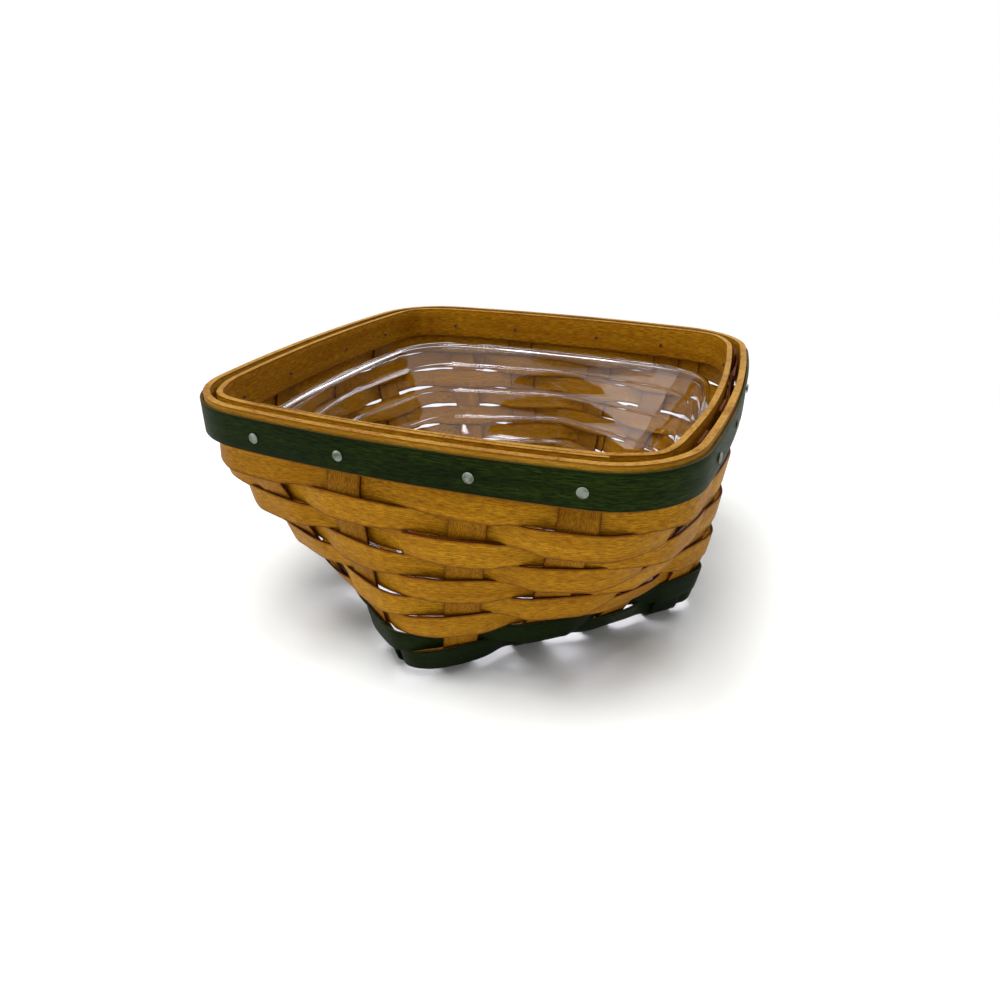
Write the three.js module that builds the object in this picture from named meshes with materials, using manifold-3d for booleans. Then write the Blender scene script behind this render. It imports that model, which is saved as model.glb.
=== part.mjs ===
// Square woven splint basket with a clear lift-out liner.
// Eight flat splints are woven as a square floor and turned up into sixteen uprights. The floor sits
// at an angle to the rim, so every upright leans and twists on its way up. Flat weavers go round the
// uprights, over one and under the next, each standing straight up like a clapboard. Two bands clamp
// the tops of the uprights, a thin coloured strip covers the outer band, and tacks go through it all.
// Millimetres, +Z up, the floor on z = 0, the centre of the rim on the Z axis, front side facing -Y.

import * as THREE from 'three'
import { mergeVertices } from 'three/addons/utils/BufferGeometryUtils.js'
import Module from 'manifold-3d'

const wasm = await Module()
wasm.setup()

// Driving dimensions: the rim
const rimHalf = 93.2              // centre to the outer band's outer face, at the middle of a side
const rimCorner = 32.4            // corner radius of that face
const rimBow = 3.2                // how far each side swells outward from corner to middle
const rimTop = 97.1               // top edge of both bands
const outerBandHeight = 14.6
const outerBandThick = 2.4
const innerBandHeight = 14.2
const innerBandThick = 2.2
const stripHeight = 11.7
const stripThick = 1.0
const stripBelowRim = 1.9         // top edge of the strip below the top of the bands
const cornerPinch = 1.5           // the bands draw this much closer at the middle of a corner

// Driving dimensions: the ends of the bands and the strip, in degrees round the rim from +X
const outerBandEnd = 82           // to the outer band's inner end
const outerBandLap = 34           // from there to its outer end, which is seen
const stripEnd = 82
const stripLap = 16
const scarfTip = 0.8              // a scarfed end's thickness, as a share of half its band
const scarfStep = 0.3             // run over which a scarf steps back to the full band
const innerBandEnd = 308          // to the inner band's square-cut end, seen inside the front
const innerBandLap = 72           // from there back to its thin end
const innerBandEase = 40          // over which it moves in to pass its own square-cut end
const plyEnd = 1.3                // thickness of the square-cut end
const plyTip = 0.5                // thickness of the thin end

// Driving dimensions: the woven wall and floor
const uprightWidth = 12.6
const uprightThick = 0.8
const weaverThick = 0.7
const rowCount = 9                // rows seen below the bands
const floorClear = 4.6            // the uprights' bends end this high above the table
const footHalf = 62               // centre to the wall's mid-surface at the foot, middle of a side
const footCorner = 7
const footTurn = 43.3             // degrees from the rim's sides to the foot's sides
const floorSkew = 2.4             // degrees the floor's weave is turned inside its own outline
const floorPitch = 29.4           // splint centre to splint centre across the floor
const leaningPlace = 2            // upright of each foot side, counted from 0, where low rows lie flat
const standingRow = 3             // last row that leans no more there than elsewhere
const flatRow = 7                 // first row that lies quite flat there
const bendReach = 6               // run of a splint's bend from the floor into the wall
const shoulderBelowBands = 7.5    // from here up the wall is drawn in by the bands
const shoulderSwell = 2.0         // wall's mid-surface at the shoulder outside its place in the bands
const wallBelly = 2.0             // swell of the wall halfway between the foot and the shoulder
const weaverLean = 0.5            // a weaver's lean as a share of the wall's own
const innerUprights = 21.9        // middle of a rim side to the centre of the nearer upright
const outerUprights = 55.2        // and of the farther one
const rimShift = 3.0              // all uprights moved this far round the rim
const uprightBelowRim = 1.6       // cut ends of the uprights below the top of the bands
const gripAbove = 1.5             // bands grip the wall from this far above their lower edges
const lapUprights = 2             // a weaver's ends lie over each other past this many uprights

// Driving dimensions: tacks
const tackBelowRim = 8.3
const tackAside = 1.6             // tack off the middle of its upright, anticlockwise
const tackHeadRadius = 1.8
const tackHeadRise = 0.6
const tackShankRadius = 0.8
const tackProud = 0.5             // point standing out of the inner band's inside face
const tackPoint = 0.5             // length of the point
const tackSides = 8
const holeSides = 6
const holeBeyond = 2              // the hole cuts this far past the tack's head

// Driving dimensions: liner
const linerBelowRim = 15.9        // its lip below the top of the bands
const linerWall = 0.9
const linerLipInset = 11.4        // the lip's edge inside the outer band's face
const linerLipWidth = 2.0
const linerLipHeight = 2.2
const linerCornerLess = 7.4       // its corner radius under the lip, less than the band's
const linerFootInset = 10         // its foot inside the wall's mid-surface
const linerFootCornerMore = 2     // and the corner radius there, more than the wall's
const linerRounding = 1.8         // where its wall turns into its floor
const linerSlope = 0.4            // inside corners above the outside ones, as a share of the wall
const ledgeCount = 4
const ledgeBelowLip = 10.2        // the uppermost ledge below the lip
const ledgePitch = 12
const ledgeStep = 0.8             // each ledge's rise, and how far the wall steps out there

// Clearances
const airGap = 0.3                // between pieces that touch in the real basket
const lapGap = 0.4                // between the two plies of a lapped weaver
const gapAtRim = 0.3              // uprights and the hidden row inside the bands
const edgeRoom = 0.7              // a weaver runs this far past an upright's edge before it crosses

const degrees = Math.PI / 180
const quarter = Math.PI / 2

// Outline of a square with rounded corners and slightly swelled sides, centred on the Z axis.
// at(angle) is the point in that direction; on(side, along) is the point on a side at a distance
// along it from its middle, sides being numbered anticlockwise from +X.
function roundedSquare(half, corner, bow, turn) {
  const flat = bow < 1e-6
  const run = half - bow - corner
  const sideRadius = flat ? Infinity : (run * run + bow * bow) / (2 * bow)
  const back = flat ? 0 : sideRadius - half
  const reach = sideRadius - corner
  const centre = flat ? half - corner : (-back + Math.sqrt(2 * reach * reach - back * back)) / 2
  const joinAngle = Math.atan2(centre, centre + back)
  const joinAlong = flat ? centre : sideRadius * Math.sin(joinAngle)
  const joinOut = flat ? half : sideRadius * Math.cos(joinAngle) - back
  const joinPolar = Math.atan2(joinAlong, joinOut)
  function radius(angle) {
    const local = wrap(angle - turn + quarter / 2, quarter) - quarter / 2
    const c = Math.cos(local)
    if (Math.abs(local) <= joinPolar) {
      if (flat) return half / c
      return -c * back + Math.sqrt(c * c * back * back - back * back + sideRadius * sideRadius)
    }
    const b = centre * (c + Math.sin(Math.abs(local)))
    return b + Math.sqrt(b * b - 2 * centre * centre + corner * corner)
  }
  function at(angle) {
    const r = radius(angle)
    return new THREE.Vector2(r * Math.cos(angle), r * Math.sin(angle))
  }
  function on(side, along) {
    const beyond = Math.abs(along) - centre
    let out = flat ? half : Math.sqrt(sideRadius * sideRadius - along * along) - back
    if (Math.abs(along) > joinAlong) out = centre + Math.sqrt(corner * corner - beyond * beyond)
    return new THREE.Vector2(out, along).rotateAround(new THREE.Vector2(), turn + side * quarter)
  }
  return { at, on, radius }
}

function wrap(value, span) {
  return ((value % span) + span) % span
}

// Half a cosine wave from 0 to 1, the way a flat strip eases from one side of the wall to the other.
function ease(t) {
  return (1 - Math.cos(Math.PI * t)) / 2
}

// A strip's solid from its cross-sections: each is four corners in the same turning order.
function ribbon(sections) {
  const positions = []
  const index = []
  for (const section of sections) {
    for (const point of section) positions.push(point.x, point.y, point.z)
  }
  const last = (sections.length - 1) * 4
  for (let i = 0; i < last; i += 4) {
    for (let j = 0; j < 4; j++) {
      const k = (j + 1) % 4
      index.push(i + j, i + k, i + 4 + k)
      index.push(i + j, i + 4 + k, i + 4 + j)
    }
  }
  index.push(0, 2, 1, 0, 3, 2)
  index.push(last, last + 1, last + 2, last, last + 2, last + 3)
  const geometry = new THREE.BufferGeometry()
  geometry.setAttribute('position', new THREE.Float32BufferAttribute(positions, 3))
  geometry.setIndex(index)
  return facingOut(geometry)
}

// Turns a closed surface's triangles round when they face inward.
function facingOut(geometry) {
  const p = geometry.attributes.position
  const index = geometry.index.array
  const a = new THREE.Vector3()
  const b = new THREE.Vector3()
  const c = new THREE.Vector3()
  let volume = 0
  for (let i = 0; i < index.length; i += 3) {
    a.fromBufferAttribute(p, index[i])
    b.fromBufferAttribute(p, index[i + 1])
    c.fromBufferAttribute(p, index[i + 2])
    volume += a.dot(b.cross(c))
  }
  if (volume < 0) {
    for (let i = 0; i < index.length; i += 3) {
      const first = index[i]
      index[i] = index[i + 1]
      index[i + 1] = first
    }
  }
  geometry.computeVertexNormals()
  return geometry
}

function toSolid(geometry) {
  const bare = geometry.clone()
  bare.deleteAttribute('normal')
  bare.deleteAttribute('uv')
  const merged = mergeVertices(bare, 1e-4)
  return new wasm.Manifold(new wasm.Mesh({
    numProp: 3,
    vertProperties: new Float32Array(merged.attributes.position.array),
    triVerts: new Uint32Array(merged.index.array),
  }))
}

function toGeometry(solid) {
  const mesh = solid.getMesh()
  const geometry = new THREE.BufferGeometry()
  geometry.setAttribute('position', new THREE.Float32BufferAttribute(mesh.vertProperties, 3))
  geometry.setIndex(Array.from(mesh.triVerts))
  geometry.computeVertexNormals()
  return geometry
}

// The rim stack, from the outer band's outer face inward
const pocket = 2 * weaverThick + uprightThick + 4 * gapAtRim
const pocketMiddle = outerBandThick + pocket / 2
const innerBandFace = outerBandThick + pocket

function rimOutline(inset) {
  return roundedSquare(rimHalf - inset, rimCorner - inset, rimBow, 0)
}

// Heights of the rows
const bandBottom = rimTop - outerBandHeight
const shoulderHeight = bandBottom - shoulderBelowBands
const rowPitch = (bandBottom - floorClear - airGap) / rowCount
const rowHeight = rowPitch - airGap
const pocketHeight = bandBottom + gripAbove
const uprightTop = rimTop - uprightBelowRim

function rowBottom(row) {
  return floorClear + airGap + (rowCount - row) * rowPitch
}

// Outlines that the wall's mid-surface passes through
const footOutline = roundedSquare(footHalf, footCorner, 0, footTurn * degrees)
const shoulderOutline = rimOutline(pocketMiddle - shoulderSwell)
const pocketOutline = rimOutline(pocketMiddle)

// Uprights, numbered anticlockwise: four rise from each side of the foot, two to each rim side
const perSide = 4
const uprightCount = 4 * perSide
const skew = floorSkew * degrees
const floorTurn = footTurn * degrees + skew

function floorLateral(place) {
  return (place - (perSide - 1) / 2) * floorPitch
}

function footLateral(place) {
  return floorLateral(place) / Math.cos(skew) + footHalf * Math.tan(skew)
}

function rimPlace(side, place) {
  const laterals = [innerUprights, outerUprights, -outerUprights, -innerUprights]
  return { side: side + (place < perSide / 2 ? 0 : 1), along: laterals[place] + rimShift }
}

// The wall's swell at a height, nothing at the foot and at the shoulder.
function swellAt(height) {
  const t = (height - floorClear) / (shoulderHeight - floorClear)
  return t < 1 ? 4 * wallBelly * t * (1 - t) : 0
}

// Mid-surface of one upright at a height: its centre, its direction across and its outward direction.
function uprightAt(number, height) {
  const k = wrap(number, uprightCount)
  const side = Math.floor(k / perSide)
  const place = k % perSide
  const rim = rimPlace(side, place)
  const foot = footOutline.on(side, footLateral(place))
  const shoulder = acrossOutline(shoulderOutline, rim)
  const held = acrossOutline(pocketOutline, rim)
  const footAngle = floorTurn + side * quarter + quarter
  const centre = new THREE.Vector2()
  let angle = held.angle
  if (height <= shoulderHeight) {
    const t = (height - floorClear) / (shoulderHeight - floorClear)
    centre.lerpVectors(foot, shoulder.centre, t)
    angle = footAngle + nearAngle(shoulder.angle - footAngle) * t
  } else {
    const t = Math.min(1, (height - shoulderHeight) / (pocketHeight - shoulderHeight))
    centre.lerpVectors(shoulder.centre, held.centre, t)
    angle = shoulder.angle + nearAngle(held.angle - shoulder.angle) * t
  }
  const across = new THREE.Vector2(Math.cos(angle), Math.sin(angle))
  const out = new THREE.Vector2(across.y, -across.x)
  centre.addScaledVector(out, swellAt(height))
  return { centre, across, out }
}

function acrossOutline(outline, rim) {
  const start = outline.on(rim.side, rim.along - uprightWidth / 2)
  const end = outline.on(rim.side, rim.along + uprightWidth / 2)
  const across = end.clone().sub(start)
  return { centre: start.clone().lerp(end, 0.5), angle: Math.atan2(across.y, across.x) }
}

function nearAngle(angle) {
  return wrap(angle + Math.PI, 2 * Math.PI) - Math.PI
}

// Wall's mid-surface in the opening after an upright, t going from its edge to the next one's edge.
function wallBetween(number, t, height) {
  const foot = betweenOn(footOutline, number, t, footEdge)
  const shoulder = betweenOn(shoulderOutline, number, t, rimEdge)
  const held = betweenOn(pocketOutline, number, t, rimEdge)
  if (height <= shoulderHeight) {
    return foot.lerp(shoulder, (height - floorClear) / (shoulderHeight - floorClear))
  }
  return shoulder.lerp(held, Math.min(1, (height - shoulderHeight) / (pocketHeight - shoulderHeight)))
}

function footEdge(outline, number, sign) {
  const k = wrap(number, uprightCount)
  return outline.on(Math.floor(k / perSide), footLateral(k % perSide) + sign * uprightWidth / 2)
}

function rimEdge(outline, number, sign) {
  const k = wrap(number, uprightCount)
  const rim = rimPlace(Math.floor(k / perSide), k % perSide)
  return outline.on(rim.side, rim.along + sign * uprightWidth / 2)
}

function betweenOn(outline, number, t, edge) {
  const start = edge(outline, number, 1)
  const end = edge(outline, number + 1, -1)
  const first = start.angle()
  return outline.at(first + nearAngle(end.angle() - first) * t)
}

// One cross-section of a splint where it stands in the wall.
function wallSection(number, height) {
  const here = uprightAt(number, height)
  const apart = 0.5
  const below = uprightAt(number, Math.max(height - apart, floorClear))
  const above = uprightAt(number, height + apart)
  const rise = Math.min(height - floorClear, apart) + apart
  const climb = above.centre.clone().sub(below.centre)
  const path = new THREE.Vector3(climb.x, climb.y, rise).normalize()
  return section(new THREE.Vector3(here.centre.x, here.centre.y, height), here.across, path)
}

// Four corners of a flat splint's cross-section: outer face first, then inner face.
function section(middle, across2, path) {
  const across = new THREE.Vector3(across2.x, across2.y, 0)
  across.addScaledVector(path, -across.dot(path)).normalize()
  const out = across.clone().cross(path).normalize()
  const corners = []
  for (const [side, face] of [[-1, 1], [1, 1], [1, -1], [-1, -1]]) {
    corners.push(middle.clone()
      .addScaledVector(across, side * uprightWidth / 2)
      .addScaledVector(out, face * uprightThick / 2))
  }
  return corners
}

// Heights at which an upright's cross-sections are set: between the rows, at the shoulder, where the
// bands take hold, and at the top
const leastStep = 2
const wallLevels = [floorClear, shoulderHeight, pocketHeight, uprightTop]
for (let row = rowCount - 1; row > 0; row--) {
  const between = rowBottom(row) - airGap / 2
  if (wallLevels.every((level) => Math.abs(level - between) > leastStep)) wallLevels.push(between)
}
wallLevels.sort((a, b) => a - b)

// Floor weave: two families of four splints, over and under each other in turn
const floorLift = (uprightThick + airGap) / 2
const floorMiddle = uprightThick / 2 + floorLift

function splint(family, place) {
  const up = []
  const heading = floorTurn + family * quarter
  const forward = new THREE.Vector2(Math.cos(heading), Math.sin(heading))
  const across = new THREE.Vector2(-forward.y, forward.x)
  const farSide = family + 2
  const nearUpright = family * perSide + place
  const farUpright = farSide * perSide + perSide - 1 - place
  const nearEnd = turnedUp(nearUpright, forward, across)
  const farEnd = turnedUp(farUpright, forward.clone().negate(), across.clone().negate())
  for (let i = wallLevels.length - 1; i >= 0; i--) {
    up.push(wallSection(farUpright, wallLevels[i]))
  }
  up.push(...farEnd.reverse())
  const sections = up.map(swapEnds)
  const halfFlat = uprightWidth / 2 + airGap
  for (let crossing = 0; crossing < perSide; crossing++) {
    const over = (place + crossing) % 2 === 0 ? 1 : -1
    for (const edge of [-halfFlat, halfFlat]) {
      const run = floorLateral(crossing) + edge
      const middle = forward.clone().multiplyScalar(run)
      middle.addScaledVector(across, floorLateral(place))
      const height = floorMiddle + over * floorLift
      const path = new THREE.Vector3(forward.x, forward.y, 0)
      sections.push(section(new THREE.Vector3(middle.x, middle.y, height), across, path))
    }
  }
  sections.push(...nearEnd)
  for (const level of wallLevels) sections.push(wallSection(nearUpright, level))
  return ribbon(sections)
}

// A section seen while walking the other way: left and right change places, and so do the faces.
function swapEnds(corners) {
  return [corners[1], corners[0], corners[3], corners[2]]
}

// The bend from the floor into the wall: a short curve between the floor's run and the wall's line.
function turnedUp(number, forward, across) {
  const foot = uprightAt(number, floorClear)
  const higher = uprightAt(number, floorClear + 1)
  const lean = higher.centre.clone().sub(foot.centre)
  const drop = floorClear - floorMiddle
  const knee = foot.centre.clone().addScaledVector(lean, -drop)
  const start = knee.clone().addScaledVector(forward, -bendReach)
  const curve = new THREE.QuadraticBezierCurve3(
    new THREE.Vector3(start.x, start.y, floorMiddle),
    new THREE.Vector3(knee.x, knee.y, floorMiddle),
    new THREE.Vector3(foot.centre.x, foot.centre.y, floorClear),
  )
  const sections = []
  for (const t of [0, 0.3, 0.55, 0.8]) {
    sections.push(section(curve.getPoint(t), across, curve.getTangent(t)))
  }
  return sections
}

// Outermost points of an upright between two heights: where the edges of its faces, and both
// diagonals of each face, enter and leave that span.
function uprightWithin(number, bottom, top) {
  const points = []
  for (let i = 0; i + 1 < wallLevels.length; i++) {
    const low = wallSection(number, wallLevels[i])
    const high = wallSection(number, wallLevels[i + 1])
    for (let j = 0; j < 4; j++) {
      const next = (j + 1) % 4
      for (const pair of [[low[j], high[j]], [low[j], high[next]], [low[next], high[j]]]) {
        const [from, to] = pair[0].z < pair[1].z ? pair : [pair[1], pair[0]]
        if (to.z < bottom || from.z > top) continue
        const rise = Math.max(to.z - from.z, 1e-6)
        const enter = Math.max(0, (bottom - from.z) / rise)
        const leave = Math.min(1, (top - from.z) / rise)
        points.push(from.clone().lerp(to, enter), from.clone().lerp(to, leave))
      }
    }
  }
  return points
}

// A weaver leans out less than the wall does: this is its lean at an upright, as an angle. Low rows
// lie flat against the uprights at leaningPlace, and the hidden row stands straight in the bands.
function leanAt(number, row, height) {
  if (row === 0) return 0
  let share = weaverLean
  if (wrap(number, perSide) === leaningPlace) {
    const flat = THREE.MathUtils.clamp((row - standingRow) / (flatRow - standingRow), 0, 1)
    share += (1 - weaverLean) * flat
  }
  const low = uprightAt(number, height - 1)
  const high = uprightAt(number, height + 1)
  return Math.atan(high.centre.sub(low.centre).dot(low.out) / 2) * share
}

// How far a weaver stands off an upright's mid-surface, outside and inside, and how long it stays flat
function standOff(number, row, bottom, top) {
  const height = (bottom + top) / 2
  const middle = uprightAt(number, height)
  const lean = leanAt(number, row, height)
  const reach = { outside: 0, inside: 0, along: 0 }
  for (const point of uprightWithin(number, bottom, top)) {
    const from = new THREE.Vector2(point.x, point.y).sub(middle.centre)
    const off = from.dot(middle.out) * Math.cos(lean) - (point.z - height) * Math.sin(lean)
    reach.outside = Math.max(reach.outside, off)
    reach.inside = Math.max(reach.inside, -off)
    reach.along = Math.max(reach.along, Math.abs(from.dot(middle.across)))
  }
  const stand = airGap + weaverThick / 2
  return {
    middle,
    lean,
    over: (reach.outside + stand) / Math.cos(lean),
    under: (reach.inside + stand) / Math.cos(lean),
    flat: reach.along + edgeRoom,
  }
}

// Points set in the opening after an upright: more where the wall turns a corner
function openingSteps(number) {
  const place = wrap(number, perSide)
  return place === perSide / 2 - 1 ? 4 : 2
}

// A weaver's middle line, round the wall from one upright to another. lap tells how its two ends
// meet: its length in uprights, and whether the starting end lies outside the finishing end.
function weaverLine(row, bottom, top, first, lap) {
  const points = []
  const occurrences = uprightCount + lap.uprights
  const shift = weaverThick + lapGap
  function offset(step) {
    const number = first + step
    const off = standOff(number, row, bottom, top)
    const over = wrap(number + row, 2) === 1
    let value = over ? off.over : -off.under
    if (lap.uprights > 0) {
      const starting = step <= lap.uprights
      const finishing = step >= uprightCount - 1
      const outer = (starting && lap.startOutside) || (finishing && !lap.startOutside)
      const inner = (starting && !lap.startOutside) || (finishing && lap.startOutside)
      if (outer && over) value += shift
      if (inner && !over) value -= shift
    }
    return { ...off, value }
  }
  function opening(step, t) {
    const before = offset(step)
    const after = offset(step + 1)
    const wall = wallBetween(first + step, t, (bottom + top) / 2)
    const out = before.middle.out.clone().lerp(after.middle.out, t).normalize()
    const swell = swellAt((bottom + top) / 2)
    const drawn = row === 0 ? pinchAt(wall.angle()) / 2 : 0
    const value = swell + drawn + before.value + (after.value - before.value) * ease(t)
    const lean = before.lean + (after.lean - before.lean) * ease(t)
    return { point: wall.addScaledVector(out, value), lean }
  }
  points.push(opening(-1, lap.from))
  for (let step = 0; step < occurrences; step++) {
    const here = offset(step)
    const centre = here.middle.centre.clone().addScaledVector(here.middle.out, here.value)
    for (const end of [-here.flat, here.flat]) {
      points.push({ point: centre.clone().addScaledVector(here.middle.across, end), lean: here.lean })
    }
    if (step === occurrences - 1) break
    const steps = openingSteps(first + step)
    for (let i = 1; i < steps; i++) points.push(opening(step, i / steps))
  }
  points.push(opening(occurrences - 1, lap.to))
  return points
}

// A woven strip from its middle line: constant width and thickness, standing up or leaning out.
function wovenStrip(line, thick, height, width) {
  const sections = []
  for (let i = 0; i < line.length; i++) {
    const here = line[i].point
    const before = line[Math.max(i - 1, 0)].point
    const after = line[Math.min(i + 1, line.length - 1)].point
    const arrive = here.clone().sub(before).normalize()
    const leave = after.clone().sub(here).normalize()
    if (i === 0) arrive.copy(leave)
    if (i === line.length - 1) leave.copy(arrive)
    const along = arrive.clone().add(leave).normalize()
    const widen = 1 / Math.max(along.dot(arrive), 0.5)
    const out = new THREE.Vector3(along.y, -along.x, 0)
    const rise = out.clone().multiplyScalar(Math.sin(line[i].lean)).setZ(Math.cos(line[i].lean))
    const face = out.clone().multiplyScalar(widen * Math.cos(line[i].lean)).setZ(-Math.sin(line[i].lean))
    const corners = []
    for (const [up, side] of [[-1, 1], [1, 1], [1, -1], [-1, -1]]) {
      corners.push(new THREE.Vector3(here.x, here.y, height)
        .addScaledVector(rise, up * width / 2)
        .addScaledVector(face, side * thick / 2))
    }
    sections.push(corners)
  }
  return ribbon(sections)
}

function uprightCorners(outer, inner, bottom, top) {
  return [
    new THREE.Vector3(outer.x, outer.y, bottom),
    new THREE.Vector3(outer.x, outer.y, top),
    new THREE.Vector3(inner.x, inner.y, top),
    new THREE.Vector3(inner.x, inner.y, bottom),
  ]
}

// How far the bands are drawn together in a direction: most at the middle of each rim corner
function pinchAt(direction) {
  for (let number = perSide / 2 - 1; number < uprightCount; number += perSide) {
    const start = rimEdge(pocketOutline, number, 1).angle()
    const end = rimEdge(pocketOutline, number + 1, -1).angle()
    const t = nearAngle(direction - start) / nearAngle(end - start)
    if (t > 0 && t < 1) return cornerPinch * Math.sin(Math.PI * t) ** 4
  }
  return 0
}

// Directions in which the bands' cross-sections are set: upright edges, and between them
function bandDirections() {
  const directions = []
  for (let number = 0; number < uprightCount; number++) {
    const start = rimEdge(pocketOutline, number, -1).angle()
    const end = rimEdge(pocketOutline, number, 1).angle()
    const next = rimEdge(pocketOutline, number + 1, -1).angle()
    const corner = number % perSide === perSide / 2 - 1
    const steps = corner ? 6 : 2
    directions.push(start, end)
    for (let i = 1; i < steps; i++) directions.push(end + nearAngle(next - end) * i / steps)
  }
  return directions.map((a) => wrap(a, 2 * Math.PI)).sort((a, b) => a - b)
}

const allDirections = bandDirections()

// A bent band with lapped ends. The starting end begins at fromAngle, and the band goes round in the
// sense of turning, 1 or -1, until its finishing end stops one full turn and a lap later.
// faces(turned, total) gives the outer and inner face's inset, and outward(direction) what is taken
// off both.
function bentBand(fromAngle, turning, lapAngle, bottom, top, faces, outward = () => 0) {
  const total = 2 * Math.PI + lapAngle
  const step = scarfStep / rimHalf
  const turns = [0, lapAngle, lapAngle + step, 2 * Math.PI - step, 2 * Math.PI, total]
  for (const direction of allDirections) {
    const first = wrap(turning * (direction - fromAngle), 2 * Math.PI)
    for (const turned of [first, first + 2 * Math.PI]) {
      const near = turns.some((t) => Math.abs(t - turned) < 2 * step)
      if (turned > 0 && turned < total && !near) turns.push(turned)
    }
  }
  const sections = []
  for (const turned of turns.sort((a, b) => a - b)) {
    const { outer, inner } = faces(turned, total)
    const angle = fromAngle + turning * turned
    const off = outward(angle)
    const outerPoint = rimOutline(outer - off).at(angle)
    const innerPoint = rimOutline(inner - off).at(angle)
    sections.push(uprightCorners(outerPoint, innerPoint, bottom, top))
  }
  return ribbon(sections)
}

// Scarfed lap: each end is pared down so that the two together are as thick as the band.
function scarfed(face, thick, lapAngle) {
  const tip = (thick - airGap) / 2 * scarfTip
  function seam(t) {
    return thick - tip + (2 * tip + airGap - thick) * t
  }
  return (turned, total) => {
    const lapStart = total - lapAngle
    if (turned <= lapAngle) return { outer: face + seam(turned / lapAngle), inner: face + thick }
    if (turned < lapStart) return { outer: face, inner: face + thick }
    return { outer: face, inner: face + seam((turned - lapStart) / lapAngle) - airGap }
  }
}

// Plain lap: the finishing end lies inside the starting end, which is pared thin along the lap.
function plainLap(face, thick, lapAngle, easeAngle) {
  return (turned, total) => {
    if (turned <= lapAngle) {
      const t = turned / lapAngle
      return { outer: face, inner: face + plyEnd + (thick - plyEnd) * t }
    }
    const lapStart = total - lapAngle
    if (turned >= lapStart) {
      const t = (turned - lapStart) / lapAngle
      const outer = face + plyEnd + (thick - plyEnd) * t + airGap
      return { outer, inner: outer + thick + (plyTip - thick) * t }
    }
    const near = Math.max(0, 1 - (lapStart - turned) / easeAngle)
    const drawn = (plyEnd + airGap) * ease(near)
    return { outer: face + drawn, inner: face + drawn + thick }
  }
}

// Tack: domed head on the strip, shank through every layer of the rim to the inside face
const stripFace = airGap + stripThick
const shankLength = stripFace + innerBandFace + innerBandThick + tackProud

function tackSeat(number) {
  const k = wrap(number, uprightCount)
  const rim = rimPlace(Math.floor(k / perSide), k % perSide)
  rim.along += tackAside
  const seat = acrossOutline(rimOutline(-stripFace), rim)
  const out = new THREE.Vector2(Math.sin(seat.angle), -Math.cos(seat.angle))
  return { centre: seat.centre, out }
}

function tackGeometry() {
  const profile = [
    [0, airGap + tackHeadRise],
    [tackHeadRadius * 0.75, airGap + tackHeadRise * 0.7],
    [tackHeadRadius, airGap],
    [tackShankRadius, airGap],
    [tackShankRadius, -shankLength + tackPoint],
    [0, -shankLength],
  ].map(([r, h]) => new THREE.Vector2(r, h))
  const geometry = new THREE.LatheGeometry(profile, tackSides)
  geometry.deleteAttribute('normal')
  geometry.deleteAttribute('uv')
  return facingOut(mergeVertices(geometry, 1e-4))
}

function placeOnRim(object, number) {
  const seat = tackSeat(number)
  const out = new THREE.Vector3(seat.out.x, seat.out.y, 0)
  object.position.set(seat.centre.x, seat.centre.y, rimTop - tackBelowRim)
  object.quaternion.setFromUnitVectors(new THREE.Vector3(0, 1, 0), out)
}

// Hole for each shank, a clearance wider and longer than the shank
function tackHole(number) {
  const radius = (tackShankRadius + airGap) / Math.cos(Math.PI / holeSides)
  const length = shankLength + airGap + holeBeyond
  const hole = new THREE.Mesh(new THREE.CylinderGeometry(radius, radius, length, holeSides))
  hole.geometry.translate(0, holeBeyond - length / 2, 0)
  placeOnRim(hole, number)
  hole.updateMatrixWorld(true)
  return toSolid(hole.geometry.clone().applyMatrix4(hole.matrixWorld))
}

const holes = []
for (let number = 0; number < uprightCount; number++) holes.push(tackHole(number))
const allHoles = wasm.Manifold.union(holes)

function pierced(geometry) {
  return toGeometry(toSolid(geometry).subtract(allHoles))
}

// Liner: a thin clear shell that follows the basket from the square lip to the turned floor
const linerBottom = uprightThick * 2 + airGap * 2
const linerTop = rimTop - linerBelowRim
const linerFootHalf = footHalf - linerFootInset
const linerFootCorner = footCorner + linerFootCornerMore
const linerTopHalf = rimHalf - linerLipInset - linerLipWidth - ledgeCount * ledgeStep
const linerTopCorner = rimCorner - linerCornerLess

function linerPoint(angle, height, outward) {
  const t = (height - linerBottom) / (linerTop - linerBottom)
  const low = roundedSquare(linerFootHalf + outward, linerFootCorner + outward, 0, footTurn * degrees)
  const high = roundedSquare(linerTopHalf + outward, linerTopCorner + outward, rimBow, 0)
  const point = low.at(angle).lerp(high.at(angle), t)
  return new THREE.Vector3(point.x, point.y, height)
}

function linerRings() {
  const rings = []
  rings.push([linerBottom, -linerRounding])
  rings.push([linerBottom + linerRounding * 0.3, -linerRounding * 0.3])
  rings.push([linerBottom + linerRounding, 0])
  let outward = 0
  for (let ledge = ledgeCount - 1; ledge >= 0; ledge--) {
    const height = linerTop - ledgeBelowLip - ledge * ledgePitch
    rings.push([height, outward])
    outward += ledgeStep
    rings.push([height + ledgeStep, outward])
  }
  const under = linerTop - linerLipHeight
  const slope = linerWall * linerSlope
  rings.push([under, outward])
  rings.push([under, outward + linerLipWidth])
  rings.push([linerTop, outward + linerLipWidth])
  rings.push([linerTop, outward - slope])
  rings.push([linerTop - linerWall - slope, outward - linerWall])
  for (let ledge = 0; ledge < ledgeCount; ledge++) {
    const height = linerTop - ledgeBelowLip - ledge * ledgePitch
    rings.push([height + ledgeStep + slope, outward - linerWall])
    outward -= ledgeStep
    rings.push([height + slope, outward - linerWall])
  }
  rings.push([linerBottom + linerWall + linerRounding, -linerWall])
  rings.push([linerBottom + linerWall, -linerWall - linerRounding])
  return rings
}

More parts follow.
